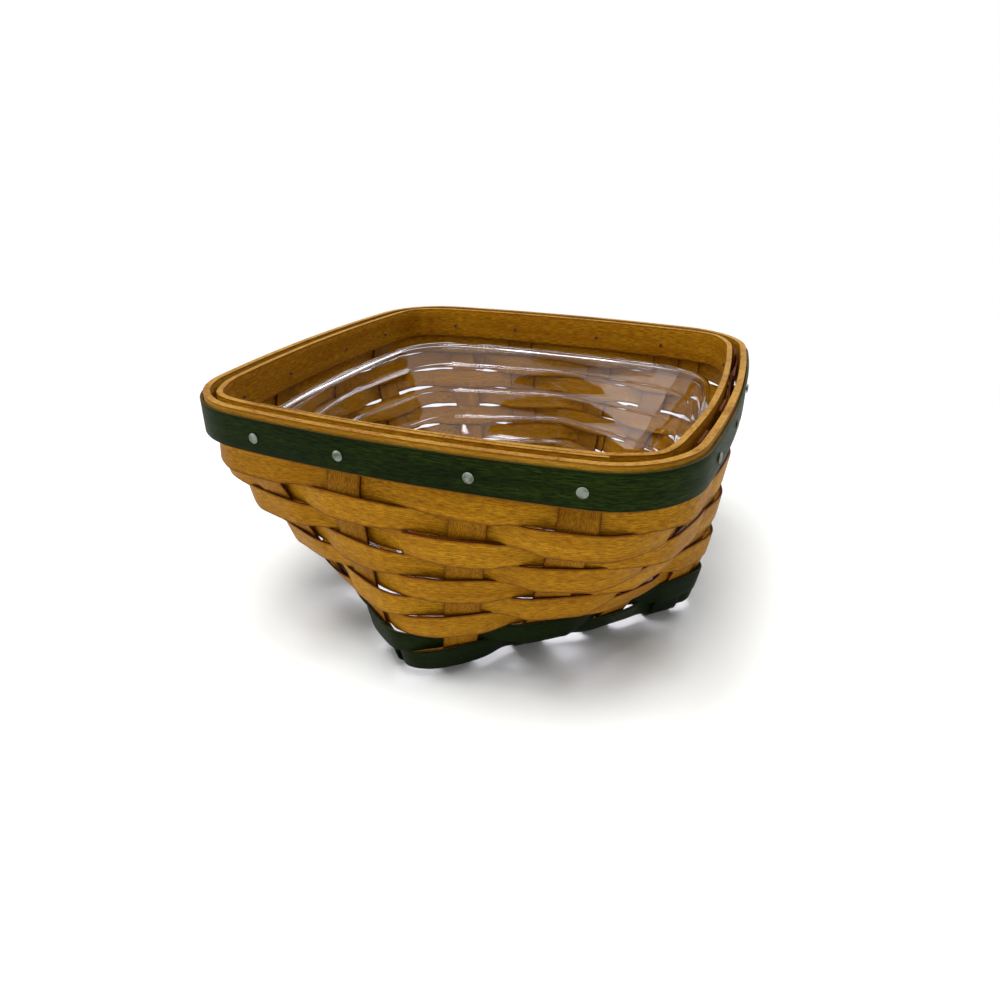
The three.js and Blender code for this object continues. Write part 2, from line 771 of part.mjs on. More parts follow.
function linerGeometry() {
  const shares = [0, 7, 18, 28, 35, 42]
  const angles = []
  for (let side = 0; side < 4; side++) {
    for (const share of shares) angles.push(side * quarter + share * degrees)
    for (const share of shares.slice(1).reverse()) angles.push((side + 1) * quarter - share * degrees)
  }
  const count = angles.length
  const positions = []
  const rings = linerRings()
  for (const [height, outward] of rings) {
    for (const angle of angles) positions.push(...linerPoint(angle, height, outward).toArray())
  }
  const index = []
  for (let ring = 0; ring + 1 < rings.length; ring++) {
    for (let i = 0; i < count; i++) {
      const j = (i + 1) % count
      const low = ring * count
      const high = low + count
      index.push(low + i, low + j, high + j)
      index.push(low + i, high + j, high + i)
    }
  }
  const underside = rings.length * count
  const inside = underside + 1
  positions.push(0, 0, linerBottom)
  positions.push(0, 0, linerBottom + linerWall)
  const lastRing = (rings.length - 1) * count
  for (let i = 0; i < count; i++) {
    const j = (i + 1) % count
    index.push(underside, j, i)
    index.push(inside, lastRing + i, lastRing + j)
  }
  const geometry = new THREE.BufferGeometry()
  geometry.setAttribute('position', new THREE.Float32BufferAttribute(positions, 3))
  geometry.setIndex(index)
  return facingOut(geometry)
}

// Materials
function wood(color) {
  return new THREE.MeshStandardMaterial({ color, roughness: 0.55, metalness: 0 })
}

const stained = { splint: 0x9a6a28, weaver: 0xa3722c, band: 0xa8752f, green: 0x22351c, deep: 0x142410 }

function named(name, geometry, material) {
  const mesh = new THREE.Mesh(geometry, material)
  mesh.name = name
  return mesh
}

const basket = new THREE.Group()

// Floor splints, both families
for (const [family, letter] of [[0, 'a'], [1, 'b']]) {
  for (let place = 0; place < perSide; place++) {
    const geometry = pierced(splint(family, place))
    basket.add(named(`base_splint_${letter}${place + 1}`, geometry, wood(stained.splint)))
  }
}

// Rows of weaving: the first upright and the style of lap differ from row to row
const lapPlaces = [2, 5, 12, 1, 6, 3, 8, 5, 0]
for (let row = 1; row <= rowCount; row++) {
  const bottom = rowBottom(row)
  const top = bottom + rowHeight
  const startOutside = row === 3
  const lap = { uprights: lapUprights, startOutside, from: startOutside ? 0.5 : 0.75, to: 0.25 }
  const line = weaverLine(row, bottom, top, lapPlaces[row - 1], lap)
  const color = row > rowCount - 2 ? stained.deep : stained.weaver
  const strip = wovenStrip(line, weaverThick, (bottom + top) / 2, rowHeight)
  basket.add(named(`weaver_row_${row}`, strip, wood(color)))
}

// Last row, hidden between the bands; its ends only meet
const hiddenBottom = pocketHeight
const hiddenLap = { uprights: 0, startOutside: false, from: 0.6, to: 0.4 }
const hiddenLine = weaverLine(0, hiddenBottom, hiddenBottom + rowHeight, 4, hiddenLap)
const hiddenStrip = wovenStrip(hiddenLine, weaverThick, hiddenBottom + rowHeight / 2, rowHeight)
basket.add(named('weaver_row_rim', pierced(hiddenStrip), wood(stained.weaver)))

// Bands and coloured strip
const outerLap = outerBandLap * degrees
const outerFaces = scarfed(0, outerBandThick, outerLap)
const outerBand = bentBand(outerBandEnd * degrees, 1, outerLap, bandBottom, rimTop, outerFaces)
basket.add(named('outer_band', pierced(outerBand), wood(stained.band)))

const stripTop = rimTop - stripBelowRim
const trimLap = stripLap * degrees
const trimFaces = scarfed(-stripFace, stripThick, trimLap)
const trim = bentBand(stripEnd * degrees, 1, trimLap, stripTop - stripHeight, stripTop, trimFaces)
basket.add(named('trim_strip', pierced(trim), wood(stained.green)))

const innerLap = innerBandLap * degrees
const innerFaces = plainLap(innerBandFace, innerBandThick, innerLap, innerBandEase * degrees)
const innerBottom = rimTop - innerBandHeight
const innerStart = innerBandEnd * degrees
const innerBand = bentBand(innerStart, -1, innerLap, innerBottom, rimTop, innerFaces, pinchAt)
basket.add(named('inner_band', pierced(innerBand), wood(stained.band)))

// Tacks, one through each upright
for (let number = 0; number < uprightCount; number++) {
  const metal = new THREE.MeshStandardMaterial({ color: 0x9a9f98, roughness: 0.35, metalness: 0.9 })
  const tack = named(`tack_${String(number + 1).padStart(2, '0')}`, tackGeometry(), metal)
  placeOnRim(tack, number)
  basket.add(tack)
}

const clear = new THREE.MeshStandardMaterial({ color: 0xe4e0ea, roughness: 0.08, metalness: 0 })
clear.transparent = true
clear.opacity = 0.3
basket.add(named('liner', linerGeometry(), clear))

export default basket
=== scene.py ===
# %% [markdown]
# # A square woven basket, dressed for the camera
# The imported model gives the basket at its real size: eight splints woven as a floor and turned up
# into sixteen uprights, nine rows of weaving, two bands with a green strip over them, tacks, and
# a clear liner. Its pieces are faceted. This lesson makes each one again as a fine mesh in the
# same place, rounds its edges and gives it a finish. Metres, +Z up, front side facing -Y.

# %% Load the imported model
from math import atan, atan2, ceil, cos, inf, pi, radians, sin, sqrt, tan

import bpy
from mathutils import Matrix, Vector


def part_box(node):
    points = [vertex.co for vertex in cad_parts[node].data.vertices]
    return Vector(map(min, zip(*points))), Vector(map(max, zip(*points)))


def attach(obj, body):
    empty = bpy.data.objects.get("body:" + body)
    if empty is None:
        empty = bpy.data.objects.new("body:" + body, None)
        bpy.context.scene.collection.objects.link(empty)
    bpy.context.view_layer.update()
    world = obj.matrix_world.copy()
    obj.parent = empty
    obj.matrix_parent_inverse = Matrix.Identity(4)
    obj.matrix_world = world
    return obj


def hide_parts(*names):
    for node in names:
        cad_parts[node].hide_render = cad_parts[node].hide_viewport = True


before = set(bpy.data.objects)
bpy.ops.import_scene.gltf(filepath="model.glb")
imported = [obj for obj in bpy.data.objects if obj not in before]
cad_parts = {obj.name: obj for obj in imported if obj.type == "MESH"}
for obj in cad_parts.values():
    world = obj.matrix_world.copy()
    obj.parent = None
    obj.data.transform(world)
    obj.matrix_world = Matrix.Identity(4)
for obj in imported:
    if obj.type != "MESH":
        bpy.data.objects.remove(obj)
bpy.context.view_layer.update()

# %% [markdown]
# ## The camera
# The camera stands where the photograph was taken from: a little to the right of the front and
# above the rim, close enough for a wide lens. A camera is placed by its location and turned by
# Euler angles: X tilts it up from looking straight down, Z turns it round the basket, and Y rolls
# it.

# %% Place the camera
camera_place = (0.1045, -0.2672, 0.1752)
camera_turn = (63.77, -0.36, 21.63)
camera_lens = 26.0
nearest_seen = 0.01

bpy.ops.object.camera_add(location=camera_place, rotation=[radians(a) for a in camera_turn])
camera = bpy.context.object
camera.data.lens = camera_lens
camera.data.clip_start = nearest_seen
bpy.context.scene.camera = camera
print("camera", camera_place, "lens", camera.data.lens, "mm")

# %% [markdown]
# ## Sizes
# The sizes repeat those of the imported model, in metres. What the frame can give is read from it:
# the rim's height and width come from the outer band's box. The rows alone differ a little. They
# lean more with the wall and stand closer together, as real rows do that are pushed down on each
# other.

# %% Sizes of the rim, the wall and the floor
mm = 0.001
band_low, band_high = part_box("outer_band")
rim_half = band_high.x
rim_top = band_high.z
rim_corner = 32.4 * mm
rim_bow = 3.2 * mm
outer_band_height = rim_top - band_low.z
outer_band_thick = 2.4 * mm
inner_band_height = 14.2 * mm
inner_band_thick = 2.2 * mm
strip_height = 11.7 * mm
strip_thick = 1.0 * mm
strip_below_rim = 1.9 * mm
corner_pinch = 1.5 * mm

upright_width = 12.6 * mm
upright_thick = 0.8 * mm
weaver_thick = 0.7 * mm
row_count = 9
floor_clear = 4.6 * mm
foot_half = 62 * mm
foot_corner = 7 * mm
foot_turn = radians(43.3)
floor_skew = radians(2.4)
floor_pitch = 29.4 * mm
bend_reach = 6 * mm
plain_lean = 0.65
corner_lean = 0.4
leaning_place = 2
standing_row = 3
flat_row = 7
shoulder_below_bands = 7.5 * mm
shoulder_swell = 2.0 * mm
wall_belly = 2 * mm
inner_uprights = 21.9 * mm
outer_uprights = 55.2 * mm
rim_shift = 3.0 * mm
upright_below_rim = 1.6 * mm
grip_above = 1.5 * mm

air_gap = 0.3 * mm
lap_gap = 0.4 * mm
gap_at_rim = 0.3 * mm
edge_room = 0.7 * mm
row_gap = 0.12 * mm

pocket = 2 * weaver_thick + upright_thick + 4 * gap_at_rim
pocket_middle = outer_band_thick + pocket / 2
inner_band_face = outer_band_thick + pocket
band_bottom = rim_top - outer_band_height
shoulder_height = band_bottom - shoulder_below_bands
row_pitch = (band_bottom - floor_clear - air_gap) / row_count
row_height = row_pitch - air_gap
pocket_height = band_bottom + grip_above
upright_top = rim_top - upright_below_rim
strip_face = air_gap + strip_thick


def row_bottom(row):
    return floor_clear + air_gap + (row_count - row) * row_pitch


print("rim", round(2 * rim_half / mm, 1), "mm wide; rows", round(row_height / mm, 2), "mm")

# %% [markdown]
# ## The outline
# Seen from above, the rim is a square with rounded corners and sides that swell a little. Each
# side is an arc of a large circle, and each corner an arc of a small one that it meets smoothly.
# Two questions are asked of it: where is the outline in a given direction, and where on a given
# side. The wall has three such outlines: at the foot, at the shoulder and where the bands hold it.

# %% Outline of a rounded square
quarter = pi / 2


def raised(flat, height):
    return Vector((flat.x, flat.y, height))


def near_angle(angle):
    """The same direction, as an angle between minus and plus half a turn."""
    return (angle + pi) % (2 * pi) - pi


def turned(point, angle):
    c, s = cos(angle), sin(angle)
    return Vector((point[0] * c - point[1] * s, point[0] * s + point[1] * c))


def rounded_square(half, corner, bow, turn):
    """Returns at(angle) and on(side, along) for a square of that half width and corner radius."""
    flat = bow < 1e-9
    run = half - bow - corner
    side_radius = inf if flat else (run * run + bow * bow) / (2 * bow)
    back = 0 if flat else side_radius - half
    reach = side_radius - corner
    centre = half - corner if flat else (-back + sqrt(2 * reach * reach - back * back)) / 2
    join_angle = atan2(centre, centre + back)
    join_along = centre if flat else side_radius * sin(join_angle)
    join_out = half if flat else side_radius * cos(join_angle) - back
    join_polar = atan2(join_along, join_out)

    def at(angle):
        local = (angle - turn + quarter / 2) % quarter - quarter / 2
        c = cos(local)
        if abs(local) > join_polar:
            b = centre * (c + sin(abs(local)))
            radius = b + sqrt(b * b - 2 * centre * centre + corner * corner)
        elif flat:
            radius = half / c
        else:
            b = -c * back
            radius = b + sqrt(c * c * back * back - back * back + side_radius * side_radius)
        return Vector((radius * cos(angle), radius * sin(angle)))

    def on(side, along):
        if abs(along) > join_along:
            out = centre + sqrt(corner * corner - (abs(along) - centre) ** 2)
        else:
            out = half if flat else sqrt(side_radius * side_radius - along * along) - back
        return turned((out, along), turn + side * quarter)

    return at, on


def rim_outline(inset):
    return rounded_square(rim_half - inset, rim_corner - inset, rim_bow, 0)


foot, shoulder, held = range(3)
outlines = (rounded_square(foot_half, foot_corner, 0, foot_turn),
            rim_outline(pocket_middle - shoulder_swell), rim_outline(pocket_middle))
foot_reach = outlines[foot][0](foot_turn + quarter / 2).length
print("foot corner reaches", round(foot_reach / mm, 1), "mm out")

# %% [markdown]
# ## The uprights
# Four uprights rise from each side of the foot, and two go to each side of the rim. The foot is
# turned by almost half a right angle against the rim, so each upright leans sideways and twists
# as it rises: up to the shoulder both its middle and its direction move evenly, and there the
# bands draw it in.

# %% Where an upright stands at a height
per_side = 4
upright_count = 4 * per_side
floor_turn = foot_turn + floor_skew


def floor_lateral(place):
    return (place - (per_side - 1) / 2) * floor_pitch


def seat(stage, number):
    """Side, and place along it, where the middle of an upright stands."""
    side, place = divmod(number % upright_count, per_side)
    if stage == foot:
        return side, floor_lateral(place) / cos(floor_skew) + foot_half * tan(floor_skew)
    laterals = (inner_uprights, outer_uprights, -outer_uprights, -inner_uprights)
    return side + (place >= per_side / 2), laterals[place] + rim_shift


def across_outline(on, number, aside=0.0):
    """Middle and direction of an upright that lies across the rim's outline there."""
    side, along = seat(held, number)
    along += aside
    start = on(side, along - upright_width / 2)
    end = on(side, along + upright_width / 2)
    across = end - start
    return (start + end) / 2, atan2(across.y, across.x)


def climb(height):
    """The stage below a height, and the share of the way from there to the next stage."""
    if height <= shoulder_height:
        return foot, (height - floor_clear) / (shoulder_height - floor_clear)
    return shoulder, min(1, (height - shoulder_height) / (pocket_height - shoulder_height))


def swell_at(height):
    """How far the wall swells outward, nothing at the foot and from the shoulder up."""
    stage, t = climb(height)
    return 4 * wall_belly * t * (1 - t) if stage == foot else 0


def upright_at(number, height):
    """Middle of an upright at a height, and its directions across and outward, as flat vectors."""
    side, along = seat(foot, number)
    stages = ((outlines[foot][1](side, along), floor_turn + side * quarter + quarter),
              across_outline(outlines[shoulder][1], number),
              across_outline(outlines[held][1], number))
    stage, t = climb(height)
    (low, low_angle), (high, high_angle) = stages[stage:stage + 2]
    angle = low_angle + near_angle(high_angle - low_angle) * t
    across = Vector((cos(angle), sin(angle)))
    out = Vector((across.y, -across.x))
    return low.lerp(high, t) + out * swell_at(height), across, out


def edge_angle(stage, number, sign):
    """Direction, from the basket's middle, of an upright's far (1) or near (-1) edge."""
    side, along = seat(stage, number)
    point = outlines[stage][1](side, along + sign * upright_width / 2)
    return atan2(point.y, point.x)


def opening_at(stage, number, t):
    """A point of the outline in the opening after an upright, t going from its edge to the next."""
    first = edge_angle(stage, number, 1)
    last = edge_angle(stage, number + 1, -1)
    return outlines[stage][0](first + near_angle(last - first) * t)


def wall_between(number, t, height):
    """Middle of the wall in the opening after an upright."""
    stage, up = climb(height)
    return opening_at(stage, number, t).lerp(opening_at(stage + 1, number, t), up)


def pinch_at(direction):
    """How far the bands are drawn together in a direction, most at the middle of a rim corner."""
    for number in range(per_side // 2 - 1, upright_count, per_side):
        start = edge_angle(held, number, 1)
        end = edge_angle(held, number + 1, -1)
        t = near_angle(direction - start) / near_angle(end - start)
        if 0 < t < 1:
            return corner_pinch * sin(pi * t) ** 4
    return 0


foot_middle, rim_middle = upright_at(10, floor_clear)[0], upright_at(10, shoulder_height)[0]
print("an upright leans", round((rim_middle - foot_middle).length / mm, 1), "mm on its way up")

# %% [markdown]
# ## Cross-sections of an upright
# A splint's cross-section is a flat rectangle square to the way it runs. The rows of weaving rest
# on these, so the sections come first: the outermost points of an upright between a row's two
# edges say how far the row has to stand off.

# %% Cross-sections, and how far a row stands off
least_step = 2 * mm
wall_levels = [floor_clear, shoulder_height, pocket_height, upright_top]
for row in range(row_count - 1, 0, -1):
    between = row_bottom(row) - air_gap / 2
    if all(abs(level - between) > least_step for level in wall_levels):
        wall_levels.append(between)
wall_levels.sort()


def frame_of(across, path):
    """Square directions across and outward for a flat splint that runs along path."""
    side = (across - path * across.dot(path)).normalized()
    return side, side.cross(path).normalized()


def wall_frame(number, height):
    """Middle, across and outward direction of an upright at a height, in space."""
    apart = 0.5 * mm
    low_height = max(height - apart, floor_clear)
    low = upright_at(number, low_height)[0]
    high = upright_at(number, height + apart)[0]
    centre, across, _ = upright_at(number, height)
    path = raised(high - low, height + apart - low_height).normalized()
    side, out = frame_of(across.to_3d(), path)
    return raised(centre, height), side, out


def wall_corners(number, height):
    middle, side, out = wall_frame(number, height)
    corners = []
    for along, face in ((-1, 1), (1, 1), (1, -1), (-1, -1)):
        edge = middle + side * (along * upright_width / 2)
        corners.append(edge + out * (face * upright_thick / 2))
    return corners


corners_at = {(n, z): wall_corners(n, z) for n in range(upright_count) for z in wall_levels}


def upright_within(number, bottom, top):
    """Outermost points of an upright's facets between two heights."""
    points = []
    for low_level, high_level in zip(wall_levels, wall_levels[1:]):
        low = corners_at[number, low_level]
        high = corners_at[number, high_level]
        for j in range(4):
            k = (j + 1) % 4
            for pair in ((low[j], high[j]), (low[j], high[k]), (low[k], high[j])):
                start, end = sorted(pair, key=lambda p: p.z)
                if end.z < bottom or start.z > top:
                    continue
                rise = max(end.z - start.z, 1e-9)
                points.append(start.lerp(end, max(0, (bottom - start.z) / rise)))
                points.append(start.lerp(end, min(1, (top - start.z) / rise)))
    return points


def lean_at(number, row, height):
    """A row leans with the wall, but less than it does, and least near a corner of the rim."""
    if row == 0:
        return 0
    place = number % per_side
    share = plain_lean if place in (0, per_side - 1) else corner_lean
    if place == leaning_place:
        down = (row - standing_row) / (flat_row - standing_row)
        share += (1 - corner_lean) * min(max(down, 0), 1)
    low = upright_at(number, height - mm)
    high = upright_at(number, height + mm)
    return atan((high[0] - low[0]).dot(low[2]) / (2 * mm)) * share


def stand_off(number, row, bottom, top):
    height = (bottom + top) / 2
    centre, across, out = upright_at(number, height)
    lean = lean_at(number, row, height)
    outside = inside = along = 0
    for point in upright_within(number, bottom, top):
        flat = point.to_2d() - centre
        off = flat.dot(out) * cos(lean) - (point.z - height) * sin(lean)
        outside = max(outside, off)
        inside = max(inside, -off)
        along = max(along, abs(flat.dot(across)))
    stand = row_gap + weaver_thick / 2
    over = (outside + stand) / cos(lean)
    under = (inside + stand) / cos(lean)
    return {"centre": centre, "across": across, "out": out, "lean": lean,
            "over": over, "under": under, "flat": along + edge_room}


print("wall levels (mm):", [round(z / mm, 1) for z in wall_levels])

# %% [markdown]
# ## The line of a weaver
# A weaver goes over one upright and under the next. In the opening between them it eases from one
# side of the wall to the other along half a cosine wave, as a springy strip does. Its two ends
# lie over each other past two uprights, so a row starts and stops without a knot.

# %% A weaver's middle line
spread_reach = 2.4
row_lap = 2
# The first upright of each row, from row 1 down, the one row that starts outside, and how far into
# an opening the ends reach.
lap_places = (2, 5, 12, 1, 6, 3, 8, 5, 0)
started_outside = 3
outside_start, inside_start, row_end = 0.5, 0.75, 0.25
rim_row_start, rim_row_ends = 4, (0.6, 0.4)


def ease(t):
    return (1 - cos(pi * t)) / 2


def opening_steps(number):
    """Steps through an opening, more of them round a corner of the rim or of the foot."""
    return (3, 5, 3, 4)[number % per_side]


def weaver_line(row, bottom, top, first, lap, start_outside, from_share, to_share):
    """Points (x, y, lean, spread) along a row, anticlockwise, from one lapped end to the other.
    The spread, which widens the row, is 1 beside an upright and 0 in the middle of an opening. At
    the lap the outer end moves out over its uprights, and the inner end moves in under its own."""
    height = (bottom + top) / 2
    occurrences = upright_count + lap
    shift = weaver_thick + lap_gap
    swell = swell_at(height)
    stands = [stand_off(n, row, bottom, top) for n in range(upright_count)]

    def offset(step):
        number = (first + step) % upright_count
        stand = stands[number]
        over = (number + row) % 2 == 1
        value = stand["over"] if over else -stand["under"]
        starting = step <= lap
        lapped = lap and (starting or step >= upright_count - 1)
        if lapped and over == (starting == start_outside):
            value += shift if over else -shift
        return stand, value

    def opening(step, t):
        before, low = offset(step)
        after, high = offset(step + 1)
        wall = wall_between(first + step, t, height)
        out = before["out"].lerp(after["out"], t).normalized()
        drawn = pinch_at(atan2(wall.y, wall.x)) / 2 if row == 0 else 0
        point = wall + out * (swell + drawn + low + (high - low) * ease(t))
        lean = before["lean"] + (after["lean"] - before["lean"]) * ease(t)
        spread = min(max(spread_reach * abs(cos(pi * t)) - 1, 0), 1)
        return point.x, point.y, lean, spread

    points = [opening(-1, from_share)]
    for step in range(occurrences):
        stand, value = offset(step)
        centre = stand["centre"] + stand["out"] * value
        for end in (-stand["flat"], stand["flat"]):
            point = centre + stand["across"] * end
            points.append((point.x, point.y, stand["lean"], 1.0))
        if step < occurrences - 1:
            steps = opening_steps(first + step)
            points += [opening(step, i / steps) for i in range(1, steps)]
    points.append(opening(occurrences - 1, to_share))
    return points


def through(points, step):
    """A smooth line through the points, about a step apart. The first three numbers of a point
    are its place, or the first two where it has four in all. It is a Catmull-Rom spline whose knots
    are spaced by the square root of the distance, so it doesn't loop or overshoot."""
    points = [Vector(p) for p in points]
    place = 2 if len(points[0]) == 4 else 3
    ends = [points[0] * 2 - points[1], *points, points[-1] * 2 - points[-2]]

    def apart(a, b):
        return max((Vector(b[:place]) - Vector(a[:place])).length, 1e-9)

    def between(low, first, high, last, t):
        return first * ((high - t) / (high - low)) + last * ((t - low) / (high - low))

    line = [points[0]]
    for p0, p1, p2, p3 in zip(ends, ends[1:], ends[2:], ends[3:]):
        t1 = sqrt(apart(p0, p1))
        t2 = t1 + sqrt(apart(p1, p2))
        t3 = t2 + sqrt(apart(p2, p3))
        count = max(1, ceil(apart(p1, p2) / step))
        for i in range(1, count + 1):
            t = t1 + (t2 - t1) * i / count
            middle = between(t1, p1, t2, p2, t)
            before = between(0, between(0, p0, t1, p1, t), t2, middle, t)
            after = between(t1, middle, t3, between(t2, p2, t3, p3, t), t)
            line.append(between(t1, before, t2, after, t))
    return line


sample = weaver_line(5, row_bottom(5), row_bottom(4), lap_places[4], row_lap, False,
                     inside_start, row_end)
print("points along row 5 before smoothing:", len(sample))

# %% [markdown]
# ## A flat blank, bent and given a thickness
# Every wooden piece starts as a flat strip. Here it is a grid primitive, many squares long and a
# few wide. Each row of its points is carried to its place along the line, the way a wet splint is
# bent round, and the UV map keeps the distance along and across the strip, so the grain follows
# it. A Solidify modifier gives the thickness, with the cut edges in a material of their own, and
# a Bevel takes the sharpness off them. A vertex group thins the ends that are pared down.

# %% Helpers that make a strip
strip_bevel_angle, strip_smooth_angle = radians(50), radians(42)


def apply_modifier(piece, kind, **settings):
    """Applies a modifier to the piece, which is still the active object."""
    modifier = piece.modifiers.new(kind.title(), kind)
    for name, value in settings.items():
        setattr(modifier, name, value)
    bpy.ops.object.modifier_apply(modifier=modifier.name)


def carried_grid(name, rows):
    """A grid primitive carried to the points of the rows, and each vertex's row and place in it."""
    along, across = len(rows) - 1, len(rows[0]) - 1
    bpy.ops.mesh.primitive_grid_add(x_subdivisions=along, y_subdivisions=across, size=1)
    piece = bpy.context.object
    piece.name = piece.data.name = name
    places = []
    for vertex in piece.data.vertices:
        i = round((vertex.co.x + 0.5) * along)
        j = round((vertex.co.y + 0.5) * across)
        places.append((i, j))
        vertex.co = rows[i][j]
    return piece, places


def give_slots(piece):
    """Two empty slots: for faces and cut edges, or for a tack's head and its shank."""
    for _ in range(2):
        piece.data.materials.append(None)


def bent_strip(name, rows, width, thick, edge, grain, thin=None):
    """A strip whose rows are lists of points across it, in the middle of its thickness. edge rounds
    its edges and grain is where its grain starts. A band's points lie on its outer face, and thin
    gives each row's share of the thickness."""
    piece, places = carried_grid(name, rows)
    give_slots(piece)
    reached = [0.0]
    across = len(rows[0]) - 1
    for before, after in zip(rows, rows[1:]):
        reached.append(reached[-1] + (after[across // 2] - before[across // 2]).length)
    layer = piece.data.uv_layers.active
    for loop in piece.data.loops:
        i, j = places[loop.vertex_index]
        layer.data[loop.index].uv = (grain + reached[i], width * j / across)
    settings = {}
    if thin:
        group = piece.vertex_groups.new(name="thickness")
        for index, (i, j) in enumerate(places):
            group.add([index], thin[i], "REPLACE")
        settings["vertex_group"] = group.name
    apply_modifier(piece, "SOLIDIFY", thickness=thick, offset=-1 if thin else 0,
                   use_even_offset=True, material_offset_rim=1, **settings)
    apply_modifier(piece, "BEVEL", width=edge, segments=2, limit_method="ANGLE",
                   angle_limit=strip_bevel_angle)
    bpy.ops.object.shade_smooth_by_angle(angle=strip_smooth_angle)
    return piece


def dress(piece, node, body="basket"):
    """The piece stands for a CAD node, which it hides, and moves with its body."""
    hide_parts(node)
    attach(piece, body)


print("ready to bend strips of", [round(t / mm, 1) for t in (weaver_thick, upright_thick)], "mm")

# %% [markdown]
# ## The rows of weaving
# A row is bent along its line. Where it lies against a leaning upright it leans too. Its faces
# are crowned by a tenth of a millimetre, as a strip that dried in place is, so that light runs
# along its middle. Beside an upright it is a little wider, which closes the gap to the rows above
# and below. Each row starts its grain somewhere else.

# %% Weave the rows
row_step = 1.5 * mm
row_crown = 0.1 * mm
row_edge = 0.14 * mm
packed_height = row_pitch - 0.05 * mm
row_spread = 1.5 * mm
row_shares = 6
row_grain_shift = 0.83


def woven_rows(line, middle_height, width):
    """Points across the strip for each point of its line, standing up or leaning with the wall."""
    rows = []
    for i, point in enumerate(line):
        before = line[max(i - 1, 0)]
        after = line[min(i + 1, len(line) - 1)]
        path = Vector((after[0] - before[0], after[1] - before[1])).normalized()
        out = Vector((path.y, -path.x, 0))
        up = out * sin(point[2]) + Vector((0, 0, cos(point[2])))
        face = out * cos(point[2]) - Vector((0, 0, sin(point[2])))
        place = raised(point, middle_height)
        half = (width + row_spread * max(point[3], 0)) / 2 / cos(point[2])
        rows.append([])
        for j in range(row_shares + 1):
            share = 2 * j / row_shares - 1
            rows[-1].append(place + up * (share * half) + face * (row_crown * (1 - share * share)))
    return rows


def weave(name, row, bottom, width, first, lap, outside, ends):
    """A row from its lower edge up. It starts before upright first and laps over lap of them."""
    line = weaver_line(row, bottom, bottom + row_height, first, lap, outside, *ends)
    rows = woven_rows(through(line, row_step), bottom + row_height / 2, width)
    return bent_strip(name, rows, row_height, weaver_thick, row_edge, row_grain_shift * row)


weavers = []
for row in range(1, row_count + 1):
    outside = row == started_outside
    piece = weave(f"woven_row_{row}", row, row_bottom(row), packed_height, lap_places[row - 1],
                  row_lap, outside, (outside_start if outside else inside_start, row_end))
    dress(piece, f"weaver_row_{row}")
    weavers.append(piece)

hidden_row = weave("woven_row_rim", 0, pocket_height, row_height, rim_row_start, 0, False,
                   rim_row_ends)
dress(hidden_row, "weaver_row_rim")
print("rows:", len(weavers) + 1, "faces in row 5:", len(weavers[4].data.polygons))

# %% [markdown]
# ## The floor splints
# One splint is upright, floor and upright again. Two families of four cross in the floor, over
# and under in turn, and each is turned up with a short bend. The line runs down the far wall,
# across the floor and up the near wall. Cross-sections are set at the same places as in the
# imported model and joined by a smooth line.

# %% Lay the splints
splint_step = 2.0 * mm
splint_edge = 0.16 * mm
splint_shares = 6
splint_grain_shift = 1.37
floor_lift = (upright_thick + air_gap) / 2
floor_middle = upright_thick / 2 + floor_lift
bend_shares = (0.0, 0.3, 0.55, 0.8)


def turned_up(number, forward, across):
    """Sections of the bend from the floor into the wall."""
    start_of_wall = upright_at(number, floor_clear)[0]
    lean = upright_at(number, floor_clear + mm)[0] - start_of_wall
    drop = floor_clear - floor_middle
    knee = start_of_wall - lean * (drop / mm)
    start = raised(knee - forward * bend_reach, floor_middle)
    knee = raised(knee, floor_middle)
    end = raised(start_of_wall, floor_clear)
    sections = []
    for t in bend_shares:
        point = start.lerp(knee, t).lerp(knee.lerp(end, t), t)
        path = (knee.lerp(end, t) - start.lerp(knee, t)).normalized()
        sections.append((point, frame_of(across.to_3d(), path)[0]))
    return sections


def splint_sections(family, place):
    """Middles and across directions of a splint's sections, from its far upright to its near."""
    heading = floor_turn + family * quarter
    forward = Vector((cos(heading), sin(heading)))
    across = Vector((-forward.y, forward.x))
    near = family * per_side + place
    far = (family + 2) * per_side + per_side - 1 - place
    sections = []
    for level in reversed(wall_levels):
        middle, side, _ = wall_frame(far, level)
        sections.append((middle, -side))
    for middle, side in reversed(turned_up(far, -forward, -across)):
        sections.append((middle, -side))
    half_flat = upright_width / 2 + air_gap
    for crossing in range(per_side):
        over = 1 if (place + crossing) % 2 == 0 else -1
        for end in (-half_flat, half_flat):
            flat = forward * (floor_lateral(crossing) + end) + across * floor_lateral(place)
            sections.append((raised(flat, floor_middle + over * floor_lift), across.to_3d()))
    sections += turned_up(near, forward, across)
    for level in wall_levels:
        middle, side, _ = wall_frame(near, level)
        sections.append((middle, side))
    return sections


splints = []
for family, letter in enumerate("ab"):
    for place in range(per_side):
        sections = [(*middle, *side) for middle, side in splint_sections(family, place)]
        rows = []
        for point in through(sections, splint_step):
            middle, side = Vector(point[:3]), Vector(point[3:]).normalized()
            middle.z = max(middle.z, upright_thick / 2)
            rows.append([middle + side * (upright_width * (j / splint_shares - 0.5))
                         for j in range(splint_shares + 1)])
        name = f"splint_{letter}{place + 1}"
        piece = bent_strip(name, rows, upright_width, upright_thick, splint_edge,
                           splint_grain_shift * len(splints))
        dress(piece, f"base_{name}")
        splints.append(piece)
print("splints:", len(splints), "faces in one:", len(splints[0].data.polygons))

# %% [markdown]
# ## The bands and the strip
# The outer band and the thin strip over it end in scarfs: each end is pared to a slope, so the
# lap is no thicker than the rest. The inner band is simpler. Its square-cut end lies against the
# uprights, and the thin other end passes inside it and stays in view. All three are bent round
# the same outline, set in or out by what lies between.

